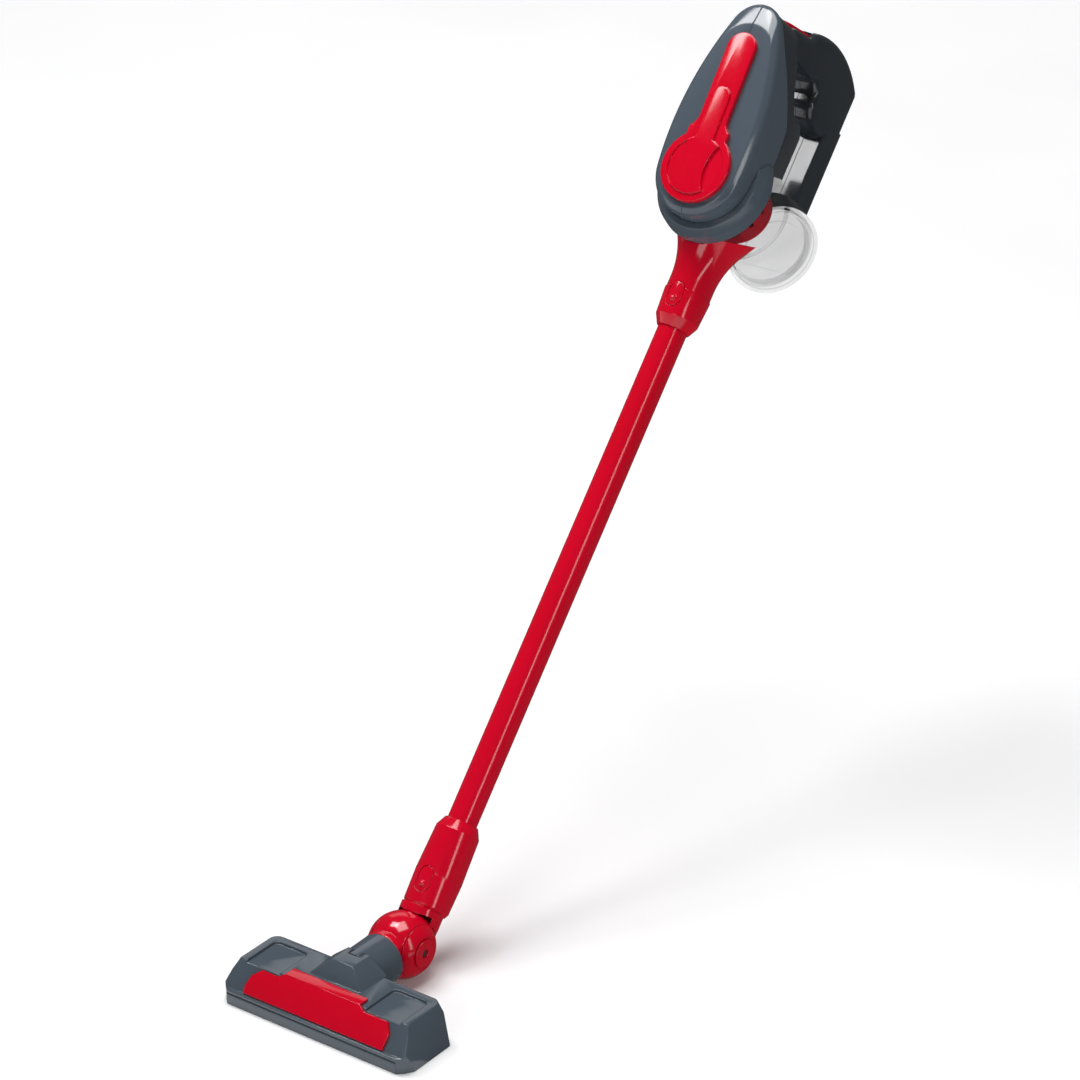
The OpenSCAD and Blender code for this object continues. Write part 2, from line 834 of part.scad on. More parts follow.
// Stepped collar that rings the bin mouth below the cover
module bin_collar() {
  color(slate) difference() {
    in_hand() turned_y() polygon([[collar_bore, collar_front], [collar_r - 5.2, collar_front],
      [collar_r - 4, collar_front + 0.6], [collar_r - 0.6, collar_front + 6.6],
      [collar_r, collar_front + 8.4], [collar_r, collar_rear - 1], [collar_r - 1, collar_rear],
      [collar_bore, collar_rear]]);
    in_front() prism_y(-60, 60) egg(-seat_gap, -seat_gap);
    in_hand() translate([-big / 2, -big / 2, collar_tip]) cube(big);
    bin_seat();
  }
}

// Clear bin, its rear lid with a D shaped ridge, and the red cup inside
module dust_bin() {
  w = bin_wall;
  color(clear) in_bin() turned_y() polygon([[bin_r - w, bin_front], [bin_r, bin_front],
    [bin_r, bin_shoulder - 2], [bin_r - 0.8, bin_shoulder], [bin_r - 2.6, bin_shoulder + 1.4],
    [bin_rear_r + 1, bin_shoulder + 3.4],
    [bin_rear_r, bin_shoulder + 5], [bin_rear_r, lid_y], [bin_rear_r - w, lid_y],
    [bin_rear_r - w, bin_shoulder + 5.6], [bin_r - w, bin_shoulder - 1.6]]);
}

module bin_lid() {
  ridge = 24.5;
  plug_r = bin_rear_r - bin_wall - seat_gap;
  color(clear) in_bin() union() {
    turned_y() polygon([[0, lid_y + 4], [plug_r - 1.6, lid_y + 4], [plug_r - 1.6, lid_y - 3],
      [plug_r, lid_y - 3], [plug_r, lid_y + seat_gap], [lid_r - 1, lid_y + seat_gap],
      [lid_r, lid_y + 1.2], [lid_r, bin_end - 1.2],
      [lid_r - 1.2, bin_end], [lid_r - 3.4, bin_end], [lid_r - 3.4, lid_y + 5.6], [0, lid_y + 5.6]]);
    prism_y(lid_y + 5, lid_y + 6.6) difference() {
      lid_segment(ridge);
      lid_segment(ridge - 1.4);
    }
  }
}

module lid_segment(r) {
  intersection() {
    circle(r = r);
    translate([-big / 2, -r * 0.62]) square([big, big]);
  }
}

module filter_cup() {
  color(red) in_bin() difference() {
    turned_y() polygon([[0, bin_shoulder], [cup_r - 1, bin_shoulder], [cup_r, bin_shoulder - 1],
      [cup_r, bin_front + 2], [bin_r - bin_wall - 0.2, bin_front + 2], [bin_r - bin_wall - 0.2, bin_front],
      [cup_r - 2, bin_front], [cup_r - 2, bin_shoulder - 2], [0, bin_shoulder - 2]]);
    for (a = [0:30:330]) rotate([0, a, 0]) translate([cup_r - 5, bin_front + 9, -1.6]) cube([10, 22, 3.2]);
  }
}

module motor_mount() {
  color(black) in_bin() difference() {
    union() {
      rod_y(cup_r - 2 - seat_gap, bin_front, bin_front + 2.4);
      rod_y(14.4, bin_front, bin_front + 12);
    }
    rod_y(12 + seat_gap, bin_front - 1, bin_front + 13);
    for (a = [45:90:315]) rotate([0, a, 0]) translate([18.5, 0, 0]) rod_y(2.4, bin_front - 1, bin_front + 4);
  }
}

module motor() {
  color(steel) in_bin() union() {
    rod_y(12, bin_front - 4, bin_front + 22);
    rod_y(4, bin_front + 21.9, bin_front + 24);
    rod_y(1, bin_front + 23.9, bin_front + 36);
  }
}

module fan() {
  base = bin_front + 27;
  color(black) in_bin() difference() {
    union() {
      rod_y(fan_r, base, base + 1.4);
      rod_y(3.2, base, base + 8);
      for (a = [0:40:320]) rotate([0, a, 0]) translate([2, base, -0.5]) cube([fan_r - 2.6, 7.4, 1]);
    }
    rod_y(1 + run_fit, base - 1, base + 12);
  }
}

// Loop handle: corners of the side view, each with its radius, below zero at an inner corner
function loop_corners() = let (
  hub = [crest_y, grip_top - crest_r],
  mid = (crest_in + crest_out) / 2,
  peak = hub + crest_r / cos((crest_in - crest_out) / 2) * [cos(mid), sin(mid)],
  front = hub + crest_r * [cos(crest_in), sin(crest_in)],
  brow = front - brow_l * [sin(crest_in), -cos(crest_in)],
  back = hub + crest_r * [cos(crest_out), sin(crest_out)],
  heel = back[1] - (leg_y - back[0]) / tan(crest_out),
  fall = arch_l * tan(arch_slope)
) [
  [arch_y - arch_l, arch_low - arch_l / 3, loop_r],
  [arch_y - arch_l, arch_z - fall, loop_r],
  [arch_y + brow_l, arch_z + brow_l * tan(arch_slope), -step_r],
  [brow[0], brow[1], loop_r],
  [peak[0], peak[1], crest_r],
  [leg_y, heel, loop_r],
  [leg_y, grip_low, loop_r],
  [leg_front, grip_low, loop_r],
  [grip_y + 9, grip_low + 4, loop_r],
  [grip_y, grip_low + 12, loop_r],
  [grip_y, arch_low - 6, -grip_fillet],
  [grip_y - 7, arch_low, -grip_fillet],
  [arch_y - 4, arch_low, -2 * grip_fillet]
];

function unit(v) = v / norm(v);

// Arc of corner i of the closed outline c, drawn in by d
function corner_arc(c, i, d) = let (
  p = [c[i][0], c[i][1]],
  before = c[(i + len(c) - 1) % len(c)],
  after = c[(i + 1) % len(c)],
  u = unit([before[0], before[1]] - p),
  v = unit([after[0], after[1]] - p),
  half = acos(u * v) / 2,
  r = abs(c[i][2]),
  side = sign(c[i][2]),
  centre = p + unit(u + v) * r / sin(half),
  start = p + u * r / tan(half) - centre,
  sweep = 180 - 2 * half,
  steps = ceil(max(sweep / loop_turn, r * sweep * PI / 180 / loop_chord)),
  first = atan2(start[1], start[0]),
  step = side * sweep / steps
) [for (k = [0:steps]) centre + (r - side * d) * [cos(first - step * k), sin(first - step * k)]];

function loop_path(d) = let (c = loop_corners()) [for (i = [0:len(c) - 1]) each corner_arc(c, i, d)];

// Triangles that fill the outline p, taken in turn from its outer side at a and its inner side at b
function strip(p, a, b) = let (
  outer = cross(p[a + 1] - p[a], p[b] - p[a]) < 0,
  inner = cross(p[b - 1] - p[a], p[b] - p[a]) < 0,
  shorter = norm(p[a + 1] - p[b]) < norm(p[a] - p[b - 1])
) b - a < 2 ? [] : outer && (shorter || !inner) ? concat([[a, a + 1, b]], strip(p, a + 1, b)) :
  concat([[a, b - 1, b]], strip(p, a, b - 1));

// Loop with its edge rounded, as rings of the outline from the parting plane to the flat side
module loop_form() {
  turns = [for (k = [0:loop_rings]) 90 * k / loop_rings];
  rings = concat([[-1, loop_path(0)]], [for (t = turns) [grip_w - grip_round + grip_round * sin(t),
    loop_path(grip_round * (1 - cos(t)))]]);
  n = len(rings[0][1]);
  last = len(rings) - 1;
  points = [for (g = rings) for (p = g[1]) [g[0], p[0], p[1]]];
  walls = [for (j = [0:last - 1]) for (i = [0:n - 1]) let (m = (i + 1) % n)
    each [[j * n + i, j * n + m, (j + 1) * n + m], [j * n + i, (j + 1) * n + m, (j + 1) * n + i]]];
  inner_cap = [for (t = strip(rings[0][1], 0, n - 1)) [t[2], t[1], t[0]]];
  outer_cap = [for (t = strip(rings[last][1], 0, n - 1)) [for (i = t) last * n + i]];
  in_hand() polyhedron(points, concat(walls, inner_cap, outer_cap));
}

// Straight battery leg below the grip
module leg_form() {
  in_hand() translate([0, leg_back - leg_d / 2, leg_low]) linear_extrude(grip_low + 14 - leg_low)
    round_rect(2 * grip_w - 0.4, leg_d, leg_round);
}

// Rear housing between cover and leg, and the back wall that closes the cover
module housing_form(i) {
  intersection() {
    in_hand() prism_x(-big / 2, big / 2) polygon([[collar_rear - 30, -60], [16 - i, -60], [16 - i, 50],
      [11 - i, 60 - i], [2, 65 - i], [-16, 66 - i], [-22 - i, 80], [-26 - i, 124], [-70, 130]]);
    in_front() prism_y(-10, 120) egg(i + 0.4, i + 1);
    in_hand() linear_extrude(big, center = true) polygon([[-40, -70], [-40, -34], [-34.8 + i, -18],
      [-27 + i, 12], [-23, 16 - i], [23, 16 - i], [27 - i, 12], [34.8 - i, -18], [40, -34], [40, -70]]);
  }
}

module handle_half() {
  wall = 2.2;
  difference() {
    union() {
      difference() {
        intersection() {
          housing_form(0);
          cover_rear_cut(seat_gap);
        }
        intersection() {
          housing_form(wall);
          cover_rear_cut(-20);
          in_hand() translate([-big / 2, -big / 2, -big]) cube([big, big, big + arch_low - 14]);
        }
      }
      loop_form();
      leg_form();
    }
    difference() {
      in_hand() prism_x(-grip_w + wall, grip_w - wall) polygon(loop_path(2 * wall));
      in_hand() handle_screw_places() rod_x(boss_r, 0, 20);
    }
    difference() {
      in_front() prism_y(-40, 60) egg(-1, -1);
      cover_rear_cut(seat_gap);
    }
    in_bin() rod_y(bin_r + seat_gap, -60, bin_shoulder + 6);
    in_bin() rod_y(lid_r + seat_gap + 0.2, bin_shoulder, 120);
    battery_bay();
    in_hand() translate([0, leg_back - 2.4, door_z]) prism_y(0, 10)
      round_rect(24 + 2 * seat_gap, door_h + 2 * seat_gap, 2);
    in_hand() translate([0, leg_back, door_screw_z]) rod_y(screw_r + thread_gap, -10, 0);
    power_space();
    translate([-big, -big / 2, -big / 2]) cube([big + seat_gap / 2, big * 4, big * 4]);
  }
}

module handle_screw_places() {
  for (p = [[46, 122], [70, 98], [-26, 108]]) translate([0, p[0], p[1]]) children();
}

module battery_bay() {
  in_hand() translate([-11.6, leg_front + 2.6, bay_z]) cube([23.2, leg_d - 4, bay_h]);
}

module handle_right() {
  color(black) difference() {
    handle_half();
    in_hand() handle_screw_places() rod_x(screw_r + thread_gap, 0, screw_tip + 1);
  }
}

module handle_left() {
  color(black) difference() {
    mirror([1, 0, 0]) handle_half();
    in_hand() handle_screw_places() {
      rod_x(screw_r + 0.2, -30, 0);
      rod_x(screw_head_r + 0.3, -30, screw_seat);
    }
  }
}

module handle_screws() {
  color(steel) in_hand() handle_screw_places() side_screw();
}

// Lens shaped power button let into the crest of the arch
module power_lens(g) {
  l = power_l / 2 + g;
  w = power_w + g;
  r = (l * l + w * w) / (2 * w);
  intersection() {
    translate([r - w, 0]) circle(r = r);
    translate([w - r, 0]) circle(r = r);
  }
}

module power_space() {
  in_arch() {
    translate([0, 0, -power_base - power_travel - power_stop]) linear_extrude(30) power_lens(move_gap);
    translate([-5.2, -12, -17]) cube([10.4, 24, 12]);
  }
}

module power_button() {
  color(red) in_arch() {
    intersection() {
      translate([0, 0, -power_base]) linear_extrude(14) power_lens(0);
      translate([0, 0, -15.2]) rod_y(18.6, -60, 60);
    }
    translate([0, 0, -power_base - 3.8]) cylinder(r = 2.2, h = 4.4);
  }
}

module power_button_spring() {
  color(steel) in_arch() translate([0, 0, wire_r + 0.02 - switch_top])
    coil(3.1, wire_r, switch_top - power_base - 2 * wire_r - 0.04, 4);
}

module switch() {
  color(black) in_arch() {
    translate([-5, -9, -switch_top - 5]) cube([10, 18, 5]);
    translate([-1.4, -1.4, -switch_top - 0.1]) cube([2.8, 2.8, 2.5]);
  }
}

module battery_door() {
  color(black) in_hand() difference() {
    translate([0, leg_back - 2.4 + seat_gap, door_z]) prism_y(0, 2.2) round_rect(24, door_h, 2);
    translate([0, leg_back, door_screw_z]) {
      rod_y(screw_r + 0.2, -5, 5);
      rod_y(screw_head_r + 0.2, -1.4, 5);
    }
    for (k = [0:3]) translate([-8, leg_back - 0.8, door_z + 8 + 3 * k]) cube([16, 2, 1.2]);
  }
}

module door_screw() {
  color(steel) in_hand() translate([0, leg_back - 9, door_screw_z]) rotate([-90, 0, 0]) screw(7.7);
}

module battery_cells() {
  color(brass) in_hand() both_sides() translate([5.6, cell_y, bay_z + 3]) union() {
    cylinder(d = 10.4, h = 43);
    cylinder(d = 3.8, h = 44.4);
  }
}

module battery_contacts() {
  color(steel) in_hand() both_sides() translate([5.6, cell_y, bay_z]) {
    translate([-4.6, -5, 0.1]) cube([9.2, 10, 0.5]);
    translate([0, 0, 0.5]) cylinder(r1 = 4, r2 = 2.6, h = 2.4);
    translate([-4.6, -5, bay_h - 0.6]) cube([9.2, 10, 0.5]);
    translate([0, 0, 47.5]) cylinder(r = 2, h = bay_h - 48);
  }
}

head_shell();
head_neck();
head_trim();
front_strip();
sole_plate();
sole_screws();
swivel_washer();
swivel_screw();
ball_core();
yoke();
pivot_screws();
wand_tube();
lower_sleeve();
upper_sleeve();
foot_button();
foot_button_spring();
neck();
neck_button();
neck_button_spring();
cover_right();
cover_left();
cover_screws();
front_plate();
bin_collar();
dust_bin();
bin_lid();
filter_cup();
motor_mount();
motor();
fan();
handle_right();
handle_left();
handle_screws();
power_button();
power_button_spring();
switch();
battery_door();
door_screw();
battery_cells();
battery_contacts();
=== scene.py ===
import json
from math import acos, atan2, cos, degrees, pi, radians, sin, sqrt, tan
import bpy
import bmesh
from mathutils import Matrix, Vector

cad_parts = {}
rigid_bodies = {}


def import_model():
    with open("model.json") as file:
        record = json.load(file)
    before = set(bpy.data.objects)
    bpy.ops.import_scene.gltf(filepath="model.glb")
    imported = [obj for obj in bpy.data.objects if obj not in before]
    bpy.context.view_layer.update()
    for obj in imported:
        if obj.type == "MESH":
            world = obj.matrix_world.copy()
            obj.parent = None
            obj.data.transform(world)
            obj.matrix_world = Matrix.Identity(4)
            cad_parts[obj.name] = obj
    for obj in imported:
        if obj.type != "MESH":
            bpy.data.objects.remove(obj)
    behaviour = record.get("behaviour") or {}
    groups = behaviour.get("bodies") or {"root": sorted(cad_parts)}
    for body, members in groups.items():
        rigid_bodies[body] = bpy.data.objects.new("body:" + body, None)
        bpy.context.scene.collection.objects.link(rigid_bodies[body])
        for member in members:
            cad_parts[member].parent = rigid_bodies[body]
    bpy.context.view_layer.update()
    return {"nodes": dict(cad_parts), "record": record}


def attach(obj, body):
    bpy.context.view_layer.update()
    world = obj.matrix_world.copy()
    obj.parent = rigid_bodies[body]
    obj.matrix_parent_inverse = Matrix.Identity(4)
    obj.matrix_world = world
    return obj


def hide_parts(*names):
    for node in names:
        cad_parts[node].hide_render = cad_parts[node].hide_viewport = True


for leftover in list(bpy.data.objects):
    bpy.data.objects.remove(leftover)
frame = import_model()
scene = bpy.context.scene
print("frame loaded:", len(frame["nodes"]), "solids")

# stance of the toy, millimetres and degrees
stance = {"lean": 41.25, "ballY": 73.3, "ballZ": 23.8, "axisBack": 9.6, "lowSeam": 52, "highSeam": 494,
          "cyclone": 569.5, "coverY": 48.5, "coverLean": 3.5, "binDroop": 2.2, "archY": -4, "archZ": 129,
          "archSlope": 10}
floorFrame = Matrix.Scale(0.001, 4)
forkFrame = (floorFrame @ Matrix.Translation((0, stance["ballY"], stance["ballZ"]))
             @ Matrix.Rotation(radians(-stance["lean"]), 4, "X"))
wandFrame = forkFrame @ Matrix.Translation((0, stance["axisBack"], 0))
handFrame = wandFrame @ Matrix.Translation((0, 0, stance["cyclone"]))
frontFrame = (handFrame @ Matrix.Translation((0, -stance["coverY"], 0))
              @ Matrix.Rotation(radians(stance["coverLean"]), 4, "X"))
binFrame = handFrame @ Matrix.Rotation(radians(-stance["binDroop"]), 4, "X")
archFrame = (handFrame @ Matrix.Translation((0, stance["archY"], stance["archZ"]))
             @ Matrix.Rotation(radians(stance["archSlope"]), 4, "X"))


# shader sockets as values
class Shade:
    def __init__(self, tree, socket):
        self.tree = tree
        self.socket = socket

    def calc(self, operation, other):
        return self.add("ShaderNodeMath", {"operation": operation}, {0: self, 1: other})

    def add(self, kind, setup=None, sockets=None, out=0):
        node = self.tree.nodes.new(kind)
        for key, value in (setup or {}).items():
            if key == "stops":
                ramp = node.color_ramp
                while len(ramp.elements) < len(value):
                    ramp.elements.new(0.5)
                for stop, (place, colour) in zip(ramp.elements, value):
                    stop.position = place
                    stop.color = colour
            else:
                setattr(node, key, value)
        for key, value in (sockets or {}).items():
            if isinstance(value, Shade):
                self.tree.links.new(value.socket, node.inputs[key])
            else:
                node.inputs[key].default_value = value
        return Shade(self.tree, node.outputs[out]) if node.outputs else None

    def __radd__(self, other):
        return self.calc("ADD", other)

    def __sub__(self, other):
        return self.calc("SUBTRACT", other)

    def __mul__(self, other):
        return self.calc("MULTIPLY", other)


def newFinish(name):
    made = bpy.data.materials.new(name)
    made.use_nodes = True
    made.node_tree.nodes.clear()
    coords = made.node_tree.nodes.new("ShaderNodeTexCoord")
    return made, Shade(made.node_tree, coords.outputs["Object"])


def linear(colour):
    parts = [(part / 255 / 12.92 if part <= 10 else ((part / 255 + 0.055) / 1.055) ** 2.4) for part in colour]
    return tuple(parts) + (1,)


# moulded plastic: soft tone drift, faint handling marks in the gloss, fine skin of the mould
def mouldedFinish(name, look):
    made, place = newFinish(name)
    drift = place.add("ShaderNodeTexNoise", {}, {"Vector": place, "Scale": look["driftScale"], "Detail": 3.0})
    marks = place.add("ShaderNodeTexNoise", {}, {"Vector": place, "Scale": look["markScale"], "Detail": 6.0,
                                                 "Roughness": 0.65})
    skin = place.add("ShaderNodeTexNoise", {}, {"Vector": place, "Scale": look["skinScale"], "Detail": 2.0})
    stops = [(0.3, linear(look["dark"])), (0.7, linear(look["light"]))]
    tone = place.add("ShaderNodeValToRGB", {"stops": stops}, {"Fac": drift})
    rough = look["rough"] + (marks - 0.5) * look["roughSpread"]
    edges = place.add("ShaderNodeBevel", {"samples": 6}, {"Radius": look["edge"]})
    bump = place.add("ShaderNodeBump", {}, {"Strength": look["skinDepth"], "Distance": 0.0002, "Height": skin,
                                            "Normal": edges})
    body = place.add("ShaderNodeBsdfPrincipled", {}, {"Base Color": tone, "Roughness": rough, "Normal": bump,
                                                      "IOR": 1.5, "Coat Weight": look["coat"],
                                                      "Coat Roughness": look["coatRough"]})
    place.add("ShaderNodeOutputMaterial", {}, {"Surface": body})
    return made


slateLook = {"dark": (73, 83, 93), "light": (79, 89, 99), "rough": 0.13, "roughSpread": 0.06,
             "driftScale": 9.0, "markScale": 60.0, "skinScale": 900.0, "skinDepth": 0.08, "coat": 0.15,
             "coatRough": 0.1, "edge": 0.0014}
redLook = {"dark": (200, 0, 31), "light": (209, 0, 38), "rough": 0.12, "roughSpread": 0.06, "driftScale": 8.0,
           "markScale": 70.0, "skinScale": 900.0, "skinDepth": 0.06, "coat": 0.15, "coatRough": 0.08,
           "edge": 0.0006}
blackLook = {"dark": (40, 45, 50), "light": (48, 53, 58), "rough": 0.12, "roughSpread": 0.1,
             "driftScale": 10.0, "markScale": 80.0, "skinScale": 1000.0, "skinDepth": 0.05, "coat": 0.4,
             "coatRough": 0.05, "edge": 0.0008}
slateFinish = mouldedFinish("slateMoulding", slateLook)
redFinish = mouldedFinish("redMoulding", redLook)
blackFinish = mouldedFinish("blackMoulding", blackLook)


# clear polystyrene of the bin: see-through with flow marks and a little haze
def clearFinish(name, look):
    made, place = newFinish(name)
    flow = place.add("ShaderNodeTexNoise", {}, {"Vector": place, "Scale": look["flowScale"], "Detail": 4.0})
    haze = look["haze"] + (flow - 0.5) * look["hazeSpread"]
    rough = look["rough"] + flow * look["roughSpread"]
    body = place.add("ShaderNodeBsdfPrincipled", {}, {"Base Color": linear(look["colour"]), "Alpha": haze,
                                                      "Roughness": rough, "IOR": 1.55, "Coat Weight": 0.6,
                                                      "Coat Roughness": 0.03})
    place.add("ShaderNodeOutputMaterial", {}, {"Surface": body})
    return made


binLook = {"colour": (50, 54, 58), "haze": 0.13, "hazeSpread": 0.06, "rough": 0.05,
           "roughSpread": 0.05, "flowScale": 30.0}
binFinish = clearFinish("clearBin", binLook)


# metal with a fine grain: plated steel of screws, springs and motor can, jacket of the cells
def steelFinish(name, look):
    made, place = newFinish(name)
    grain = place.add("ShaderNodeTexNoise", {}, {"Vector": place, "Scale": look["grainScale"], "Detail": 5.0})
    stops = [(0.35, linear(look["dark"])), (0.65, linear(look["light"]))]
    tone = place.add("ShaderNodeValToRGB", {"stops": stops}, {"Fac": grain})
    rough = look["rough"] + grain * look["roughSpread"]
    body = place.add("ShaderNodeBsdfPrincipled", {}, {"Base Color": tone, "Metallic": look["metal"],
                                                      "Roughness": rough})
    place.add("ShaderNodeOutputMaterial", {}, {"Surface": body})
    return made


steelLook = {"dark": (150, 152, 156), "light": (192, 194, 198), "metal": 1.0, "rough": 0.25,
             "roughSpread": 0.12, "grainScale": 700.0}
cellLook = {"dark": (150, 128, 70), "light": (178, 152, 84), "metal": 0.6, "rough": 0.3,
            "roughSpread": 0.12, "grainScale": 300.0}
steelPlating = steelFinish("platedSteel", steelLook)
cellJacket = steelFinish("cellJacket", cellLook)
finishes = {"slate": slateFinish, "red": redFinish, "black": blackFinish, "clear": binFinish,
            "steel": steelPlating, "cell": cellJacket}
for part in frame["record"]["subparts"]:
    mesh = frame["nodes"][part["node"]].data
    mesh.materials.clear()
    mesh.materials.append(finishes[part["material_slot"]])
print("finishes:", ", ".join(finishes))


# corners (a, b, radius) of a flat profile, rounded
def rounded(corners, steps=6):
    out = []
    for i, corner in enumerate(corners):
        here = Vector(corner[:2])
        if len(corner) < 3:
            out.append(here)
            continue
        back = (Vector(corners[i - 1][:2]) - here).normalized()
        ahead = (Vector(corners[(i + 1) % len(corners)][:2]) - here).normalized()
        half = acos(max(-1, min(1, back.dot(ahead)))) / 2
        centre = here + (back + ahead).normalized() * (corner[2] / sin(half))
        start = here + back * (corner[2] / tan(half)) - centre
        end = here + ahead * (corner[2] / tan(half)) - centre
        out += [centre + start.slerp(end, k / steps) for k in range(steps + 1)]
    return out


def arc(centre, radius, start, end, steps):
    turns = [radians(start + (end - start) * k / steps) for k in range(steps + 1)]
    return [Vector((centre[0] + radius * cos(turn), centre[1] + radius * sin(turn))) for turn in turns]


turnTo = {"X": Matrix.Rotation(pi / 2, 4, "Y"), "Y": Matrix.Rotation(-pi / 2, 4, "X"), "Z": Matrix()}


# a profile (radius, height) spun round an axis, open where it ends on the axis
def turned(profile, along="Z", steps=112):
    bm = bmesh.new()
    verts = [bm.verts.new((radius, 0, height)) for radius, height in profile]
    edges = [bm.edges.new(pair) for pair in zip(verts, verts[1:])]
    if profile[0][0] > 1e-6 or profile[-1][0] > 1e-6:
        edges.append(bm.edges.new((verts[-1], verts[0])))
    bmesh.ops.spin(bm, geom=verts + edges, cent=(0, 0, 0), axis=(0, 0, 1), angle=2 * pi, steps=steps,
                   use_merge=True)
    bmesh.ops.remove_doubles(bm, verts=bm.verts, dist=1e-4)
    bmesh.ops.recalc_face_normals(bm, faces=bm.faces)
    bmesh.ops.transform(bm, matrix=turnTo[along], verts=bm.verts)
    return bm


# plain round bar
def rod(radius, low, high, along="Z", steps=112):
    return turned([(0, low), (radius, low), (radius, high), (0, high)], along, steps)


# a flat outline drawn out from low to high, along Y or Z
def slab(outline, low, high, along="Z"):
    bm = bmesh.new()
    spots = [(a, low, b) if along == "Y" else (a, b, low) for a, b in outline]
    face = bm.faces.new([bm.verts.new(spot) for spot in spots])
    drawn = bmesh.ops.extrude_face_region(bm, geom=[face])["geom"]
    step = Vector((0, high - low, 0) if along == "Y" else (0, 0, high - low))
    far = [vert for vert in drawn if isinstance(vert, bmesh.types.BMVert)]
    bmesh.ops.translate(bm, verts=far, vec=step)
    bmesh.ops.recalc_face_normals(bm, faces=bm.faces)
    return bm


def moved(bm, matrix):
    bmesh.ops.transform(bm, matrix=matrix, verts=bm.verts)
    return bm


def loose(bm, name):
    mesh = bpy.data.meshes.new(name)
    bm.to_mesh(mesh)
    bm.free()
    made = bpy.data.objects.new(name, mesh)
    scene.collection.objects.link(made)
    return made


# joins or cuts whole shapes, the others are used up
def carve(bm, others, operation="DIFFERENCE"):
    base = loose(bm, "base")
    tools = [loose(other, "tool") for other in others]
    for tool in tools:
        cut = base.modifiers.new("cut", "BOOLEAN")
        cut.operation = operation
        cut.object = tool
        cut.solver = "EXACT"
    bpy.context.view_layer.update()
    mesh = bpy.data.meshes.new_from_object(base.evaluated_get(bpy.context.evaluated_depsgraph_get()))
    made = bmesh.new()
    made.from_mesh(mesh)
    bpy.data.meshes.remove(mesh)
    bmesh.ops.remove_doubles(made, verts=made.verts, dist=1e-4)
    bmesh.ops.dissolve_degenerate(made, dist=1e-4, edges=made.edges)
    for tool in tools + [base]:
        bpy.data.meshes.remove(tool.data)
    return made


# keeps what lies behind a plane across x and closes the cut
def cutAcross(bm, x, facing):
    bmesh.ops.bisect_plane(bm, geom=bm.verts[:] + bm.edges[:] + bm.faces[:], plane_co=(x, 0, 0),
                           plane_no=(facing, 0, 0), clear_outer=True)
    bmesh.ops.holes_fill(bm, edges=[edge for edge in bm.edges if edge.is_boundary])


# small round on the sharp edges that pass the test
def soften(bm, width, limit, steps=3, chosen=lambda edge: True):
    sharp = [edge for edge in bm.edges
             if edge.is_manifold and edge.calc_face_angle(0) > radians(limit) and chosen(edge)]
    bmesh.ops.bevel(bm, geom=sharp, offset=width, offset_type="OFFSET", segments=steps, profile=0.5,
                    affect="EDGES", material=-1, clamp_overlap=True)
    return bm


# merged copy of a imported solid, in millimetres
def fromSolid(node):
    bm = bmesh.new()
    bm.from_mesh(frame["nodes"][node].data)
    bmesh.ops.scale(bm, vec=(1000, 1000, 1000), verts=bm.verts)
    bmesh.ops.remove_doubles(bm, verts=bm.verts, dist=0.002)
    bmesh.ops.dissolve_limit(bm, angle_limit=radians(0.7), verts=bm.verts, edges=bm.edges)
    return bm


# finished piece: placed, smooth between its sharp edges, riding on its body in place of the solids
def finishPiece(bm, name, matrix, body, slot, stands, limit=32):
    bmesh.ops.transform(bm, matrix=matrix, verts=bm.verts)
    bm.normal_update()
    for face in bm.faces:
        face.smooth = True
    for edge in bm.edges:
        edge.smooth = edge.is_manifold and edge.calc_face_angle(pi) < radians(limit)
    made = loose(bm, name)
    made.data.materials.append(finishes[slot])
    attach(made, body)
    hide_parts(*stands)
    return made


# floor head
headShell = {"edge": 0.6, "trimEdge": 0.45, "stripEdge": 0.35, "edgeLimit": 18, "round": 6.5, "past": 4,
             "corner": [(80.8, 26, -1), (74.6, 27.7, 21.6), (70.55, 25.8, 30.6)]}


# what lies outside the round of a rear corner, sheared along the corner line
def cornerCuts(side):
    cuts = []
    past, turn = headShell["past"], headShell["round"]
    for foot, head in zip(headShell["corner"], headShell["corner"][1:]):
        tall = head[2] - foot[2]
        outline = [(side * past, past), (side * past, -turn)]
        outline += [(side * spot.x, spot.y) for spot in arc((-turn, -turn), turn, 0, 90, 10)]
        outline += [(-side * turn, past)]
        follow = Matrix.Translation((side * foot[0], foot[1], foot[2]))
        follow[0][2] = side * (head[0] - foot[0]) / tall
        follow[1][2] = (head[1] - foot[1]) / tall
        cuts.append(moved(slab(outline, 0, tall), follow))
    return cuts


headBodies = {"head_shell": carve(fromSolid("head_shell"), cornerCuts(1) + cornerCuts(-1)),
              "head_trim": fromSolid("head_trim"), "front_strip": fromSolid("front_strip")}
for node, name, slot, edge in (("head_shell", "headShell", "slate", "edge"),
                               ("head_trim", "headTrim", "red", "trimEdge"),
                               ("front_strip", "frontStrip", "slate", "stripEdge")):
    soften(headBodies[node], headShell[edge], headShell["edgeLimit"])
    finishPiece(headBodies[node], name, floorFrame, "head", slot, [node])
headNeck = {"radius": 17.5, "front": 22.5, "rear": 52.4, "bore": 13.06, "floor": 30.5, "eye": 11}
neckRing = turned(rounded([(headNeck["eye"], headNeck["front"]), (headNeck["radius"], headNeck["front"]),
                           (headNeck["radius"], headNeck["rear"], 0.7),
                           (headNeck["bore"], headNeck["rear"], 0.4),
                           (headNeck["bore"], headNeck["floor"]), (headNeck["eye"], headNeck["floor"])]), "Y")
jointFrame = floorFrame @ Matrix.Translation((0, 0, stance["ballZ"]))
finishPiece(neckRing, "headNeck", jointFrame, "head", "slate", ["head_neck"])
print("floor head done")

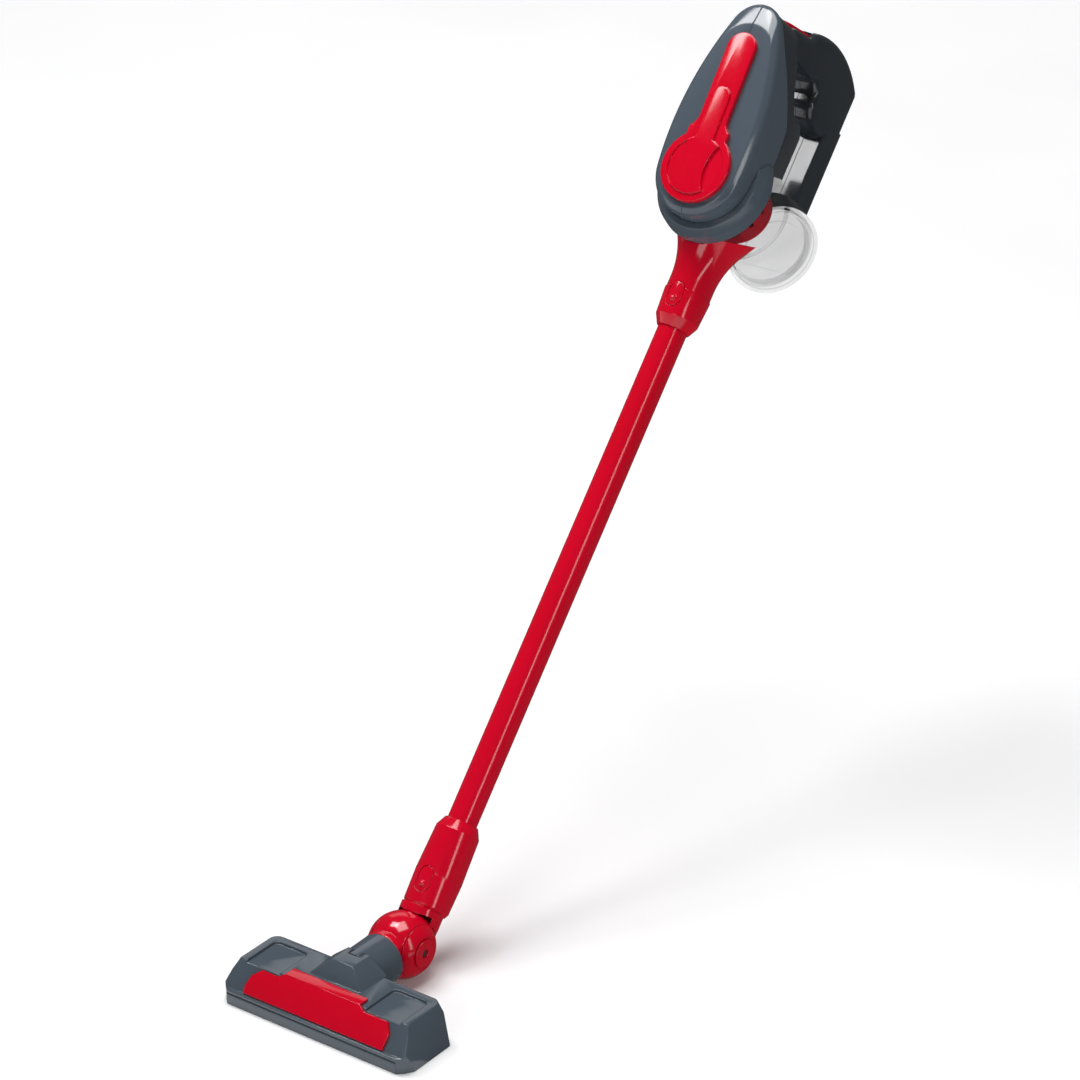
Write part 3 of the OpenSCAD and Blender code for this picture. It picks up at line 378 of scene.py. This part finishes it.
# ball joint
ball = {"radius": 23.5, "core": 13.6, "bore": 5.06, "rimInset": 0.4, "rimTrim": 1, "flange": 17.5,
        "flangeFront": 52.75, "flangeRear": 62, "spigot": 13, "spigotEnd": 32.4, "spigotRear": 60}
ballRim = sqrt(ball["radius"] ** 2 - ball["core"] ** 2) - ball["rimInset"]
rimTurn = degrees(acos(ball["core"] / ball["radius"]))
bulge = arc((0, 0), ball["radius"], 180 - rimTurn - ball["rimTrim"], rimTurn + ball["rimTrim"], 40)
bulge = [(spot.y, spot.x) for spot in bulge]
coreBody = turned([(ball["bore"], -ball["core"]), (ballRim, -ball["core"])] + bulge
                  + [(ballRim, ball["core"]), (ball["bore"], ball["core"])], "X")
flange = turned(rounded([(0, ball["flangeFront"]), (ball["flange"], ball["flangeFront"], 0.5),
                         (ball["flange"], ball["flangeRear"]), (0, ball["flangeRear"])]), "Y")
for side in (-1, 1):
    cutAcross(flange, side * ball["core"], side)
spigot = rod(ball["spigot"], ball["spigotEnd"], ball["spigotRear"], "Y")
atBall = Matrix.Translation((0, stance["ballY"], 0))
coreBody = carve(moved(coreBody, atBall), [flange, spigot], "UNION")
finishPiece(coreBody, "ballCore", jointFrame, "ball", "red", ["ball_core"])


def pillOutline(length, width, centre):
    straight = (length - width) / 2
    return (arc((0, centre + straight), width / 2, 0, 180, 24)
            + arc((0, centre - straight), width / 2, 180, 360, 24))


# release buttons and the openings they sit in, across a seam of the wand
pill = {"length": 18, "width": 11, "drop": 5.4, "gap": 0.35, "domeDrop": 9, "dome": 2.7, "domeSink": 1,
        "proud": 0.35, "sleeve": 16.4, "back": -10.6, "cutFront": -30, "cutBack": -8, "edge": 0.6,
        "edgeLimit": 50, "below": 40, "above": 20}


def pillWindow(seam):
    wider = 2 * pill["gap"]
    outline = pillOutline(pill["length"] + wider, pill["width"] + wider, seam - pill["drop"])
    return slab(outline, pill["cutFront"], pill["cutBack"], "Y")


def pillNotch(seam):
    half = pill["width"] / 2 + pill["gap"]
    low = seam - pill["drop"] - (pill["length"] - pill["width"]) / 2
    outline = arc((0, low), half, 180, 360, 24) + [(half, seam + 1), (-half, seam + 1)]
    return slab(outline, pill["cutFront"], pill["cutBack"], "Y")


yoke = {"armIn": 13.95, "flat": 20.2, "radius": 23.5, "screwHole": 3.0, "screwFloor": 17.6, "clear": 23.85,
        "floor": 27.6, "sleeve": 16.4, "foot": 14.8, "footRise": 3, "socket": 13.46, "socketFloor": 38,
        "webRadius": 15.4, "webY": 7, "webLow": 14, "webHollow": 18.5, "webReach": 50, "lap": 1}
armRim = sqrt(yoke["radius"] ** 2 - yoke["armIn"] ** 2)
flatRim = sqrt(yoke["radius"] ** 2 - yoke["flat"] ** 2)
armTurn = degrees(acos(yoke["armIn"] / yoke["radius"]))
flatTurn = degrees(acos(yoke["flat"] / yoke["radius"])) + 1.5
cap = [(0, yoke["armIn"] - yoke["lap"]), (armRim, yoke["armIn"] - yoke["lap"])]
cap += [(spot.y, spot.x) for spot in arc((0, 0), yoke["radius"], armTurn, flatTurn, 14)]
cap += rounded([(flatRim, yoke["flat"], 0.3), (yoke["screwHole"] + 0.6, yoke["flat"], 0.4),
                (yoke["screwHole"], yoke["screwFloor"]), (0, yoke["screwFloor"])])[1:]
arms = [turned(cap, "X"), moved(turned(cap, "X"), Matrix.Rotation(pi, 4, "Z"))]
toAxis = Matrix.Translation((0, stance["axisBack"], 0))
socket = turned(rounded([(0, yoke["floor"]), (yoke["foot"], yoke["floor"]),
                         (yoke["sleeve"], yoke["floor"] + yoke["footRise"], 1),
                         (yoke["sleeve"], stance["lowSeam"], 0.35), (yoke["socket"], stance["lowSeam"], 0.3),
                         (yoke["socket"], yoke["socketFloor"]), (0, yoke["socketFloor"])]))
web = rod(yoke["webRadius"], yoke["webLow"], yoke["floor"] + yoke["lap"])
web = carve(moved(web, Matrix.Translation((0, yoke["webY"], 0))),
            [rod(yoke["webHollow"], -yoke["webReach"], yoke["webReach"], "X")])
ballSpace = rod(yoke["clear"], -yoke["armIn"], yoke["armIn"], "X")
yokeBody = carve(moved(socket, toAxis), [web] + arms, "UNION")
yokeBody = carve(yokeBody, [ballSpace, moved(pillNotch(stance["lowSeam"]), toAxis)])
finishPiece(yokeBody, "yoke", forkFrame, "yoke", "red", ["yoke"])
print("ball joint done")

# wand: tube, sleeves and the two release buttons
wand = {"tube": 10.7, "wall": 1.4, "low": 56, "high": 479.6, "sleeve": 16.4, "cone": 11.7, "seat": 10.78,
        "spigot": 13.4, "bore": 9.6, "spigotLength": 13, "footSleeve": 33.6, "handSleeve": 20,
        "coneHeight": 6.8, "socket": 13.46, "stop": 4, "socketPlay": 1}
low, high = stance["lowSeam"], stance["highSeam"]
tube = turned([(wand["tube"] - wand["wall"], wand["low"]), (wand["tube"], wand["low"]),
               (wand["tube"], wand["high"]), (wand["tube"] - wand["wall"], wand["high"])])
finishPiece(tube, "wandTube", wandFrame, "wand", "red", ["wand_tube"])
top = low + wand["footSleeve"]
tip = low - wand["spigotLength"]
lowerSleeve = turned(rounded([(wand["bore"], tip), (wand["spigot"], tip, 0.5), (wand["spigot"], low),
                              (wand["sleeve"], low, 0.35), (wand["sleeve"], top, 1.6),
                              (wand["cone"], top + wand["coneHeight"], 0.6),
                              (wand["seat"], top + wand["coneHeight"]), (wand["seat"], low + wand["stop"]),
                              (wand["bore"], low + wand["stop"])]))
finishPiece(carve(lowerSleeve, [pillWindow(low)]), "lowerSleeve", wandFrame, "wand", "red", ["lower_sleeve"])
foot = high - wand["handSleeve"]
socketEnd = high - wand["spigotLength"] - wand["socketPlay"]
upperSleeve = turned(rounded([(wand["seat"], foot - wand["coneHeight"]),
                              (wand["cone"], foot - wand["coneHeight"], 0.6),
                              (wand["sleeve"], foot, 1.6), (wand["sleeve"], high, 0.35),
                              (wand["socket"], high, 0.3), (wand["socket"], socketEnd),
                              (wand["seat"], socketEnd)]))
finishPiece(carve(upperSleeve, [pillNotch(high)]), "upperSleeve", wandFrame, "wand", "red", ["upper_sleeve"])
for seam, name, node in ((low, "footButton", "foot_button"), (high, "neckButton", "neck_button")):
    front = pill["sleeve"] + pill["proud"]
    outline = pillOutline(pill["length"], pill["width"], seam - pill["drop"])
    key = slab(outline, pill["cutFront"], pill["back"], "Y")
    drum = rod(front, seam - pill["below"], seam + pill["above"], steps=160)
    domeAt = Vector((0, pill["domeSink"] - front, seam - pill["domeDrop"]))
    dome = bmesh.new()
    bmesh.ops.create_uvsphere(dome, u_segments=40, v_segments=20, radius=pill["dome"],
                              matrix=Matrix.Translation(domeAt) @ turnTo["Y"])
    key = carve(carve(key, [drum], "INTERSECT"), [dome], "UNION")
    soften(key, pill["edge"], pill["edgeLimit"], 4,
           lambda edge: max(vert.co.y for vert in edge.verts) < pill["back"] - 1
           and (edge.verts[0].co - domeAt).length > pill["dome"] + 0.4)
    finishPiece(key, name, wandFrame, node, "red", [node])
print("wand done")

# flared neck under the bin
neck = {"curve": 66, "curveStep": 1.25, "curveSteps": 38, "top": 4, "base": -67.5, "seam": -75.5,
        "bin": 38.08, "binFront": -20, "binRear": 100, "collar": 43.38, "collarFront": -80,
        "collarRear": -19.8, "mouthY": 9, "mouthDrop": 27, "mouthTilt": 19, "mouthBlock": 200,
        "sleeve": 16.4, "edge": 0.35, "bore": 9.6, "spigot": 13.4, "spigotLength": 13}
flareRises = [neck["curveStep"] * step for step in range(neck["curveSteps"])]
flareCurve = [(neck["sleeve"] + neck["curve"] - sqrt(neck["curve"] ** 2 - rise ** 2), neck["base"] + rise)
              for rise in flareRises]
flareTop = flareCurve[-1][1] + neck["top"]
spigotTip = neck["seam"] - neck["spigotLength"]
flare = turned([(neck["bore"], spigotTip), (neck["spigot"], spigotTip), (neck["spigot"], neck["seam"]),
                (neck["sleeve"] - neck["edge"], neck["seam"]), (neck["sleeve"], neck["seam"] + neck["edge"])]
               + flareCurve + [(flareCurve[-1][0], flareTop), (neck["bore"], flareTop)])
binSpace = moved(rod(neck["bin"], neck["binFront"], neck["binRear"], "Y", 160),
                 Matrix.Rotation(radians(-stance["binDroop"]), 4, "X"))
collarSpace = rod(neck["collar"], neck["collarFront"], neck["collarRear"], "Y", 160)
above = bmesh.new()
bmesh.ops.create_cube(above, size=neck["mouthBlock"],
                      matrix=Matrix.Translation((0, neck["mouthY"], -neck["mouthDrop"]))
                      @ Matrix.Rotation(radians(neck["mouthTilt"]), 4, "X")
                      @ Matrix.Translation((0, 0, neck["mouthBlock"] / 2)))
fromSeam = Matrix.Translation((0, 0, -stance["cyclone"]))
flare = carve(flare, [binSpace, collarSpace, above, moved(pillWindow(high), fromSeam)])
finishPiece(flare, "flaredNeck", handFrame, "hand_unit", "red", ["neck"])
print("neck done")

# egg outline of the front cover, drawn in by side and by top
egg = {"low": 34.5, "side": 240, "half": 35.8, "top": 125.5, "steps": (28, 36, 28)}


def eggOutline(inset, topInset):
    sideX = egg["side"] - egg["half"]
    sideZ = sqrt((egg["side"] - egg["low"]) ** 2 - sideX ** 2)
    span = egg["top"] - topInset - sideZ
    reach = egg["side"] - inset - span
    lift = (sideX ** 2 - reach ** 2) / (2 * reach)
    lowTurn = degrees(atan2(-sideZ, sideX))
    highTurn = degrees(atan2(lift, sideX))
    right = arc((0, 0), egg["low"] - inset, -90, lowTurn, egg["steps"][0])
    right += arc((-sideX, sideZ), egg["side"] - inset, lowTurn, highTurn, egg["steps"][1])[1:]
    right += arc((0, sideZ + lift), span - lift, highTurn, 90, egg["steps"][2])[1:]
    return right + [Vector((-spot.x, spot.y)) for spot in reversed(right[1:-1])]


# front cover: lofted through the egg outlines, rear edge on the slanted split line
cover = {"wall": 2.2, "seam": 0.05, "seamEdge": 0.22, "seamLimit": 60, "seamReach": 0.06, "creaseLimit": 38,
         "insideFace": (5.6, 18, -3.2), "insideRim": -0.3, "firstDepth": 20.0, "leastDepth": 0.6, "passes": 6,
         "rings": [(0, 0, -0.2), (0.06, 0.08, -0.55), (0.35, 0.55, -1.2), (0.85, 1.5, -2.2),
                   (1.1, 2.0, -2.62), (1.5, 3.4, -3.02), (3.9, 13.6, -5.15), (4.25, 15.1, -5.42),
                   (4.6, 16.2, -5.56), (5.2, 17.4, -5.6)],
         "split": [(-20, -60), (-20, 52), (-33, 76), (-45, 97), (-58, 130)]}


# how far back the cover reaches at x, z: found by stepping onto the split line
def splitDepth(x, z):
    depth = cover["firstDepth"]
    lastZ = cover["split"][-1][1]
    for step in range(cover["passes"]):
        spot = Matrix.Rotation(radians(stance["coverLean"]), 3, "X") @ Vector((x, depth, z))
        for (lowY, lowZ), (highY, highZ) in zip(cover["split"], cover["split"][1:]):
            if spot.z <= highZ or highZ == lastZ:
                part = max(0, min(1, (spot.z - lowZ) / (highZ - lowZ)))
                want = lowY + (highY - lowY) * part
                break
        depth += want + stance["coverY"] - spot.y
    return max(depth, cover["leastDepth"])


def flatRing(inset, topInset, depth):
    return [(spot.x, depth, spot.y) for spot in eggOutline(inset, topInset)]


def splitRing(inset):
    return [(spot.x, splitDepth(spot.x, spot.y), spot.y) for spot in eggOutline(inset, inset)]


rings = [flatRing(*cover["insideFace"]), flatRing(cover["wall"], cover["wall"], cover["insideRim"]),
         splitRing(cover["wall"]), splitRing(0)]
rings += [flatRing(*ring) for ring in cover["rings"]]
shell = bmesh.new()
loops = []
for ring in rings:
    verts = [shell.verts.new(spot) for spot in ring]
    loops.append([shell.edges.new(pair) for pair in zip(verts, verts[1:] + verts[:1])])
for one, two in zip(loops, loops[1:]):
    bmesh.ops.bridge_loops(shell, edges=one + two)
bmesh.ops.edgeloop_fill(shell, edges=loops[0])
bmesh.ops.edgeloop_fill(shell, edges=loops[-1])
bmesh.ops.recalc_face_normals(shell, faces=shell.faces)
for side, name, node in ((1, "coverRight", "cover_right"), (-1, "coverLeft", "cover_left")):
    half = shell.copy()
    cutAcross(half, side * cover["seam"], -side)
    soften(half, cover["seamEdge"], cover["seamLimit"], 2,
           lambda edge: max(abs(vert.co.x) for vert in edge.verts) < cover["seamReach"])
    finishPiece(half, name, frontFrame, "hand_unit", "slate", [node], cover["creaseLimit"])
shell.free()
print("front cover done")

# red front plate: bar, disc, knob with two side hollows, tongue
plate = {"face": -5.6, "thick": 4, "disc": 26.4, "bar": 11.2, "barTop": 100.6, "shoulder": 16.2,
         "filletX": 23.2, "filletZ": 37, "fillet": 12, "knob": 21.2, "knobRise": 1.6, "waist": 8.6,
         "hollow": 34, "tongue": 7.2, "tongueTop": 59, "hollowDepth": 0.8, "hollowOver": 1, "backGap": 0.08,
         "knobSink": 0.4, "edge": 0.7, "edgeLimit": 60, "edgeBand": 0.1}


def bothHalves(right):
    return right + [Vector((-spot.x, spot.y)) for spot in reversed(right) if abs(spot.x) > 1e-6]


# flat shape with its front edge rounded
def pressed(right, front, back):
    made = slab(bothHalves(right), front, back, "Y")
    return soften(made, plate["edge"], plate["edgeLimit"], 4,
                  lambda edge: max(vert.co.y for vert in edge.verts) < front + plate["edgeBand"])


shoulderTurn = degrees(acos(plate["shoulder"] / plate["disc"]))
filletLow = 180 + degrees(acos((plate["filletX"] - plate["shoulder"]) / plate["fillet"]))
barSide = arc((0, 0), plate["disc"], -90, shoulderTurn, 40)
barSide += arc((plate["filletX"], plate["filletZ"]), plate["fillet"], filletLow, 180, 12)
barSide += arc((0, plate["barTop"] - plate["bar"]), plate["bar"], 0, 90, 16)
farSide = plate["waist"] + plate["hollow"]
cross = (farSide ** 2 + plate["knob"] ** 2 - plate["hollow"] ** 2) / (2 * farSide)
crossTurn = degrees(acos(cross / plate["knob"]))
hollowTurn = degrees(acos((farSide - cross) / plate["hollow"]))
tongueTurn = degrees(acos(plate["tongue"] / plate["knob"]))
hollowSide = arc((farSide, 0), plate["hollow"], 180 + hollowTurn, 180 - hollowTurn, 30)
knobSide = arc((0, 0), plate["knob"], -90, -crossTurn, 14) + hollowSide[1:-1]
knobSide += arc((0, 0), plate["knob"], crossTurn, tongueTurn, 8)
knobSide += arc((0, plate["tongueTop"] - plate["tongue"]), plate["tongue"], 0, 90, 14)
face = plate["face"] - plate["thick"]
plateBody = pressed(barSide, face, plate["face"] - plate["backGap"])
lens = hollowSide + arc((0, 0), plate["knob"], crossTurn, -crossTurn, 30)[1:-1]
lenses = [slab([(side * spot.x, spot.y) for spot in lens], face - plate["hollowOver"],
               face + plate["hollowDepth"], "Y") for side in (1, -1)]
plateBody = carve(plateBody, lenses)
knobBody = pressed(knobSide, face - plate["knobRise"], face + plate["knobSink"])
plateBody = carve(plateBody, [knobBody], "UNION")
finishPiece(plateBody, "frontPlate", frontFrame, "hand_unit", "red", ["front_plate"])

# stepped collar round the lower end of the cover
collar = {"radius": 43.3, "front": -36, "rear": -20, "bore": 30, "tip": 23, "gap": 0.08, "frontIn": 4.6,
          "stepIn": 0.4, "stepBack": 7.6, "reach": 60, "block": 200}
collarRing = turned(rounded([(collar["bore"], collar["front"]),
                             (collar["radius"] - collar["frontIn"], collar["front"], 1.2),
                             (collar["radius"] - collar["stepIn"], collar["front"] + collar["stepBack"], 1.6),
                             (collar["radius"], collar["rear"], 1.0),
                             (collar["bore"], collar["rear"])]), "Y", 160)
eggSpace = slab(eggOutline(-collar["gap"], -collar["gap"]), -collar["reach"], collar["reach"], "Y")
eggSpace = moved(eggSpace, Matrix.Translation((0, -stance["coverY"], 0))
                 @ Matrix.Rotation(radians(stance["coverLean"]), 4, "X"))
topSpace = bmesh.new()
bmesh.ops.create_cube(topSpace, size=collar["block"],
                      matrix=Matrix.Translation((0, 0, collar["tip"] + collar["block"] / 2)))
collarRing = carve(collarRing, [eggSpace, topSpace])
finishPiece(collarRing, "binCollar", handFrame, "hand_unit", "slate", ["bin_collar"])
print("front plate and collar done")

# clear bin, lid with a D shaped ridge, and the slotted cup inside
dustBin = {"radius": 38, "rear": 31.6, "wall": 1.8, "front": -19.6, "end": 77, "shoulderFront": 23,
           "shoulderMid": 25.8, "shoulderRear": 28.2, "shoulderIn": 3.2, "insideFront": 22.4,
           "insideRear": 29.6, "steps": 144}
inside = dustBin["radius"] - dustBin["wall"]
insideRear = dustBin["rear"] - dustBin["wall"]
binWall = turned(rounded([(inside, dustBin["front"]), (dustBin["radius"], dustBin["front"], 0.3),
                          (dustBin["radius"], dustBin["shoulderFront"], 1.6),
                          (dustBin["radius"] - dustBin["shoulderIn"], dustBin["shoulderMid"], 1.2),
                          (dustBin["rear"], dustBin["shoulderRear"], 1.6),
                          (dustBin["rear"], dustBin["end"], 0.4), (insideRear, dustBin["end"], 0.4),
                          (insideRear, dustBin["insideRear"], 1.0),
                          (inside, dustBin["insideFront"], 1.4)]), "Y", dustBin["steps"])
finishPiece(binWall, "dustBin", binFrame, "hand_unit", "clear", ["dust_bin"])
lid = {"radius": 34.2, "plug": 29.72, "plugWall": 1.6, "plugFront": 74, "seat": 77.08, "floor": 81,
       "floorThick": 1.6, "end": 84, "rim": 3.4, "ridge": 24.5, "ridgeWall": 1.4, "ridgeCut": 0.62,
       "ridgeFoot": 1, "ridgeTop": 2.6, "ridgeOver": 4, "steps": 144}
plugInside = lid["plug"] - lid["plugWall"]
rimInside = lid["radius"] - lid["rim"]
lidFace = lid["floor"] + lid["floorThick"]
lidBody = turned(rounded([(0, lid["floor"]), (plugInside, lid["floor"], 0.4),
                          (plugInside, lid["plugFront"], 0.4), (lid["plug"], lid["plugFront"], 0.4),
                          (lid["plug"], lid["seat"]),
                          (lid["radius"], lid["seat"], 0.7), (lid["radius"], lid["end"], 0.9),
                          (rimInside, lid["end"], 0.7), (rimInside, lidFace, 0.5), (0, lidFace)]),
                 "Y", lid["steps"])


def ridgeOutline(radius):
    turn = degrees(acos(lid["ridgeCut"]))
    return arc((0, 0), radius, -90 + turn, 270 - turn, 64)


ridgeBody = slab(ridgeOutline(lid["ridge"]), lid["floor"] + lid["ridgeFoot"],
                 lid["floor"] + lid["ridgeTop"], "Y")
ridgeSpace = slab(ridgeOutline(lid["ridge"] - lid["ridgeWall"]), lid["floor"],
                  lid["floor"] + lid["ridgeOver"], "Y")
lidBody = carve(lidBody, [carve(ridgeBody, [ridgeSpace])], "UNION")
finishPiece(lidBody, "binLid", binFrame, "lid", "clear", ["bin_lid"])
cup = {"radius": 24, "front": -19.6, "end": 24, "wall": 2, "flange": 36, "flangeThick": 2, "slots": 12,
       "slotWide": 3.2, "slotLong": 22, "slotDeep": 10, "slotStart": 9}
cupInside = cup["radius"] - cup["wall"]
cupFloor = cup["end"] - cup["wall"]
flangeBack = cup["front"] + cup["flangeThick"]
cupBody = turned(rounded([(0, cup["end"]), (cup["radius"], cup["end"], 1.2), (cup["radius"], flangeBack, 0.6),
                          (cup["flange"], flangeBack), (cup["flange"], cup["front"]),
                          (cupInside, cup["front"]), (cupInside, cupFloor, 0.8), (0, cupFloor)]), "Y")
slots = []
slotMiddle = cup["front"] + cup["slotStart"] + cup["slotLong"] / 2
for step in range(cup["slots"]):
    slot = bmesh.new()
    bmesh.ops.create_cube(slot, size=1, matrix=Matrix.Rotation(2 * pi * step / cup["slots"], 4, "Y")
                          @ Matrix.Translation((cup["radius"], slotMiddle, 0))
                          @ Matrix.Diagonal((cup["slotDeep"], cup["slotLong"], cup["slotWide"], 1)))
    slots.append(slot)
finishPiece(carve(cupBody, slots), "filterCup", binFrame, "hand_unit", "red", ["filter_cup"])
print("bin done")

# loop handle halves and the lens shaped power button
handle = {"creaseLimit": 30, "halves": {"handle_right": "handleRight", "handle_left": "handleLeft"}}
for node, name in handle["halves"].items():
    finishPiece(fromSolid(node), name, floorFrame, "hand_unit", "black", [node], handle["creaseLimit"])
power = {"length": 46, "half": 8.4, "base": -3.6, "blank": 12, "crown": 18.6, "crownDrop": 15.2,
         "crownReach": 60, "edge": 0.6, "edgeLimit": 40}
lensRadius = ((power["length"] / 2) ** 2 + power["half"] ** 2) / (2 * power["half"])
lensTurn = degrees(acos((lensRadius - power["half"]) / lensRadius))
lensOutline = arc((power["half"] - lensRadius, 0), lensRadius, -lensTurn, lensTurn, 40)[:-1]
lensOutline += arc((lensRadius - power["half"], 0), lensRadius, 180 - lensTurn, 180 + lensTurn, 40)[:-1]
crown = moved(rod(power["crown"], -power["crownReach"], power["crownReach"], "Y", 200),
              Matrix.Translation((0, 0, -power["crownDrop"])))
button = carve(slab(lensOutline, power["base"], power["blank"]), [crown], "INTERSECT")
soften(button, power["edge"], power["edgeLimit"], 4,
       lambda edge: max(vert.co.z for vert in edge.verts) > power["base"] + 1)
finishPiece(button, "powerButton", archFrame, "power_button", "red", ["power_button"])
print("handle done")

# floor, light and camera
floorFinish, place = newFinish("studioFloor")
floorLook = {"dark": (240, 240, 241), "light": (246, 246, 247), "near": (60, 60, 60), "far": (200, 200, 201),
             "rough": 0.85, "dustScale": 3.0, "fade": 0.22}
dust = place.add("ShaderNodeTexNoise", {}, {"Vector": place, "Scale": floorLook["dustScale"], "Detail": 2.0})
stops = [(0.3, linear(floorLook["dark"])), (0.7, linear(floorLook["light"]))]
tone = place.add("ShaderNodeValToRGB", {"stops": stops}, {"Fac": dust})
# painted light: the floor glows, faintly under the toy and more strongly with distance from it, so the far
# floor stays white
reach = place.add("ShaderNodeVectorMath", {"operation": "LENGTH"}, {0: place}, "Value")
stops = [(0.0, linear(floorLook["near"])), (1.0, linear(floorLook["far"]))]
lift = place.add("ShaderNodeValToRGB", {"stops": stops}, {"Fac": reach * floorLook["fade"]})
sheet = place.add("ShaderNodeBsdfPrincipled", {}, {"Base Color": tone, "Roughness": floorLook["rough"],
                                                   "Emission Color": lift, "Emission Strength": 1.0})
place.add("ShaderNodeOutputMaterial", {}, {"Surface": sheet})
# only the front half shows in the gloss
floorHalf = 6
for name, centre, mirrored in (("frontFloor", -floorHalf, True), ("rearFloor", floorHalf, False)):
    floorMesh = bmesh.new()
    bmesh.ops.create_grid(floorMesh, x_segments=2, y_segments=2, size=floorHalf,
                          matrix=Matrix.Translation((0, centre, 0)))
    floor = loose(floorMesh, name)
    floor.data.materials.append(floorFinish)
    floor.visible_glossy = mirrored

# lamps: way from the target, distance, width and height, watts
target = Vector((0, 0.23169, 0.26625))
lamps = {"key": ((-0.42, -0.068, 0.905), 1.95, (0.6, 0.85), 19),
         "card": ((-0.488, -0.276, 0.828), 1.93, (0.14, 0.2), 0.85),
         "strip": ((0.86, -0.35, 0.38), 2.2, (0.3, 1.5), 6),
         "front": ((0.15, -0.93, 0.33), 2.5, (1.2, 1.0), 10),
         "back": ((-0.534, 0.728, 0.43), 3.0, (2.6, 1.2), 7),
         "overhead": ((-0.04, 0.02, 1.0), 4.4, (2.6, 2.6), 130)}
for name, (way, distance, size, watts) in lamps.items():
    lamp = bpy.data.lights.new(name, "AREA")
    lamp.shape = "RECTANGLE"
    lamp.size, lamp.size_y = size
    lamp.energy = watts
    holder = bpy.data.objects.new(name, lamp)
    holder.location = target + Vector(way).normalized() * distance
    holder.rotation_euler = Vector(way).to_track_quat("Z", "Y").to_euler()
    scene.collection.objects.link(holder)
# the small card lights the black handle alone
legOnly = bpy.data.collections.new("legOnly")
for name in handle["halves"].values():
    legOnly.objects.link(bpy.data.objects[name])
bpy.data.objects["card"].light_linking.receiver_collection = legOnly
world = bpy.data.worlds.new("studio")
world.use_nodes = True
world.node_tree.nodes["Background"].inputs["Color"].default_value = (1, 1, 1, 1)
world.node_tree.nodes["Background"].inputs["Strength"].default_value = 0.07
scene.world = world
scene.view_settings.view_transform = "Standard"

viewPoint = {"azimuth": 36.27, "elevation": 25.48, "distance": 2.547, "lens": 124.85}
turn, rise = radians(viewPoint["azimuth"]), radians(viewPoint["elevation"])
toCamera = Vector((sin(turn) * cos(rise), -cos(turn) * cos(rise), sin(rise)))
lensData = bpy.data.cameras.new("camera")
lensData.lens = viewPoint["lens"]
lensData.sensor_width = 36
camera = bpy.data.objects.new("camera", lensData)
camera.location = target + toCamera * viewPoint["distance"]
camera.rotation_euler = toCamera.to_track_quat("Z", "Y").to_euler()
scene.collection.objects.link(camera)
scene.camera = camera
print("stage done")
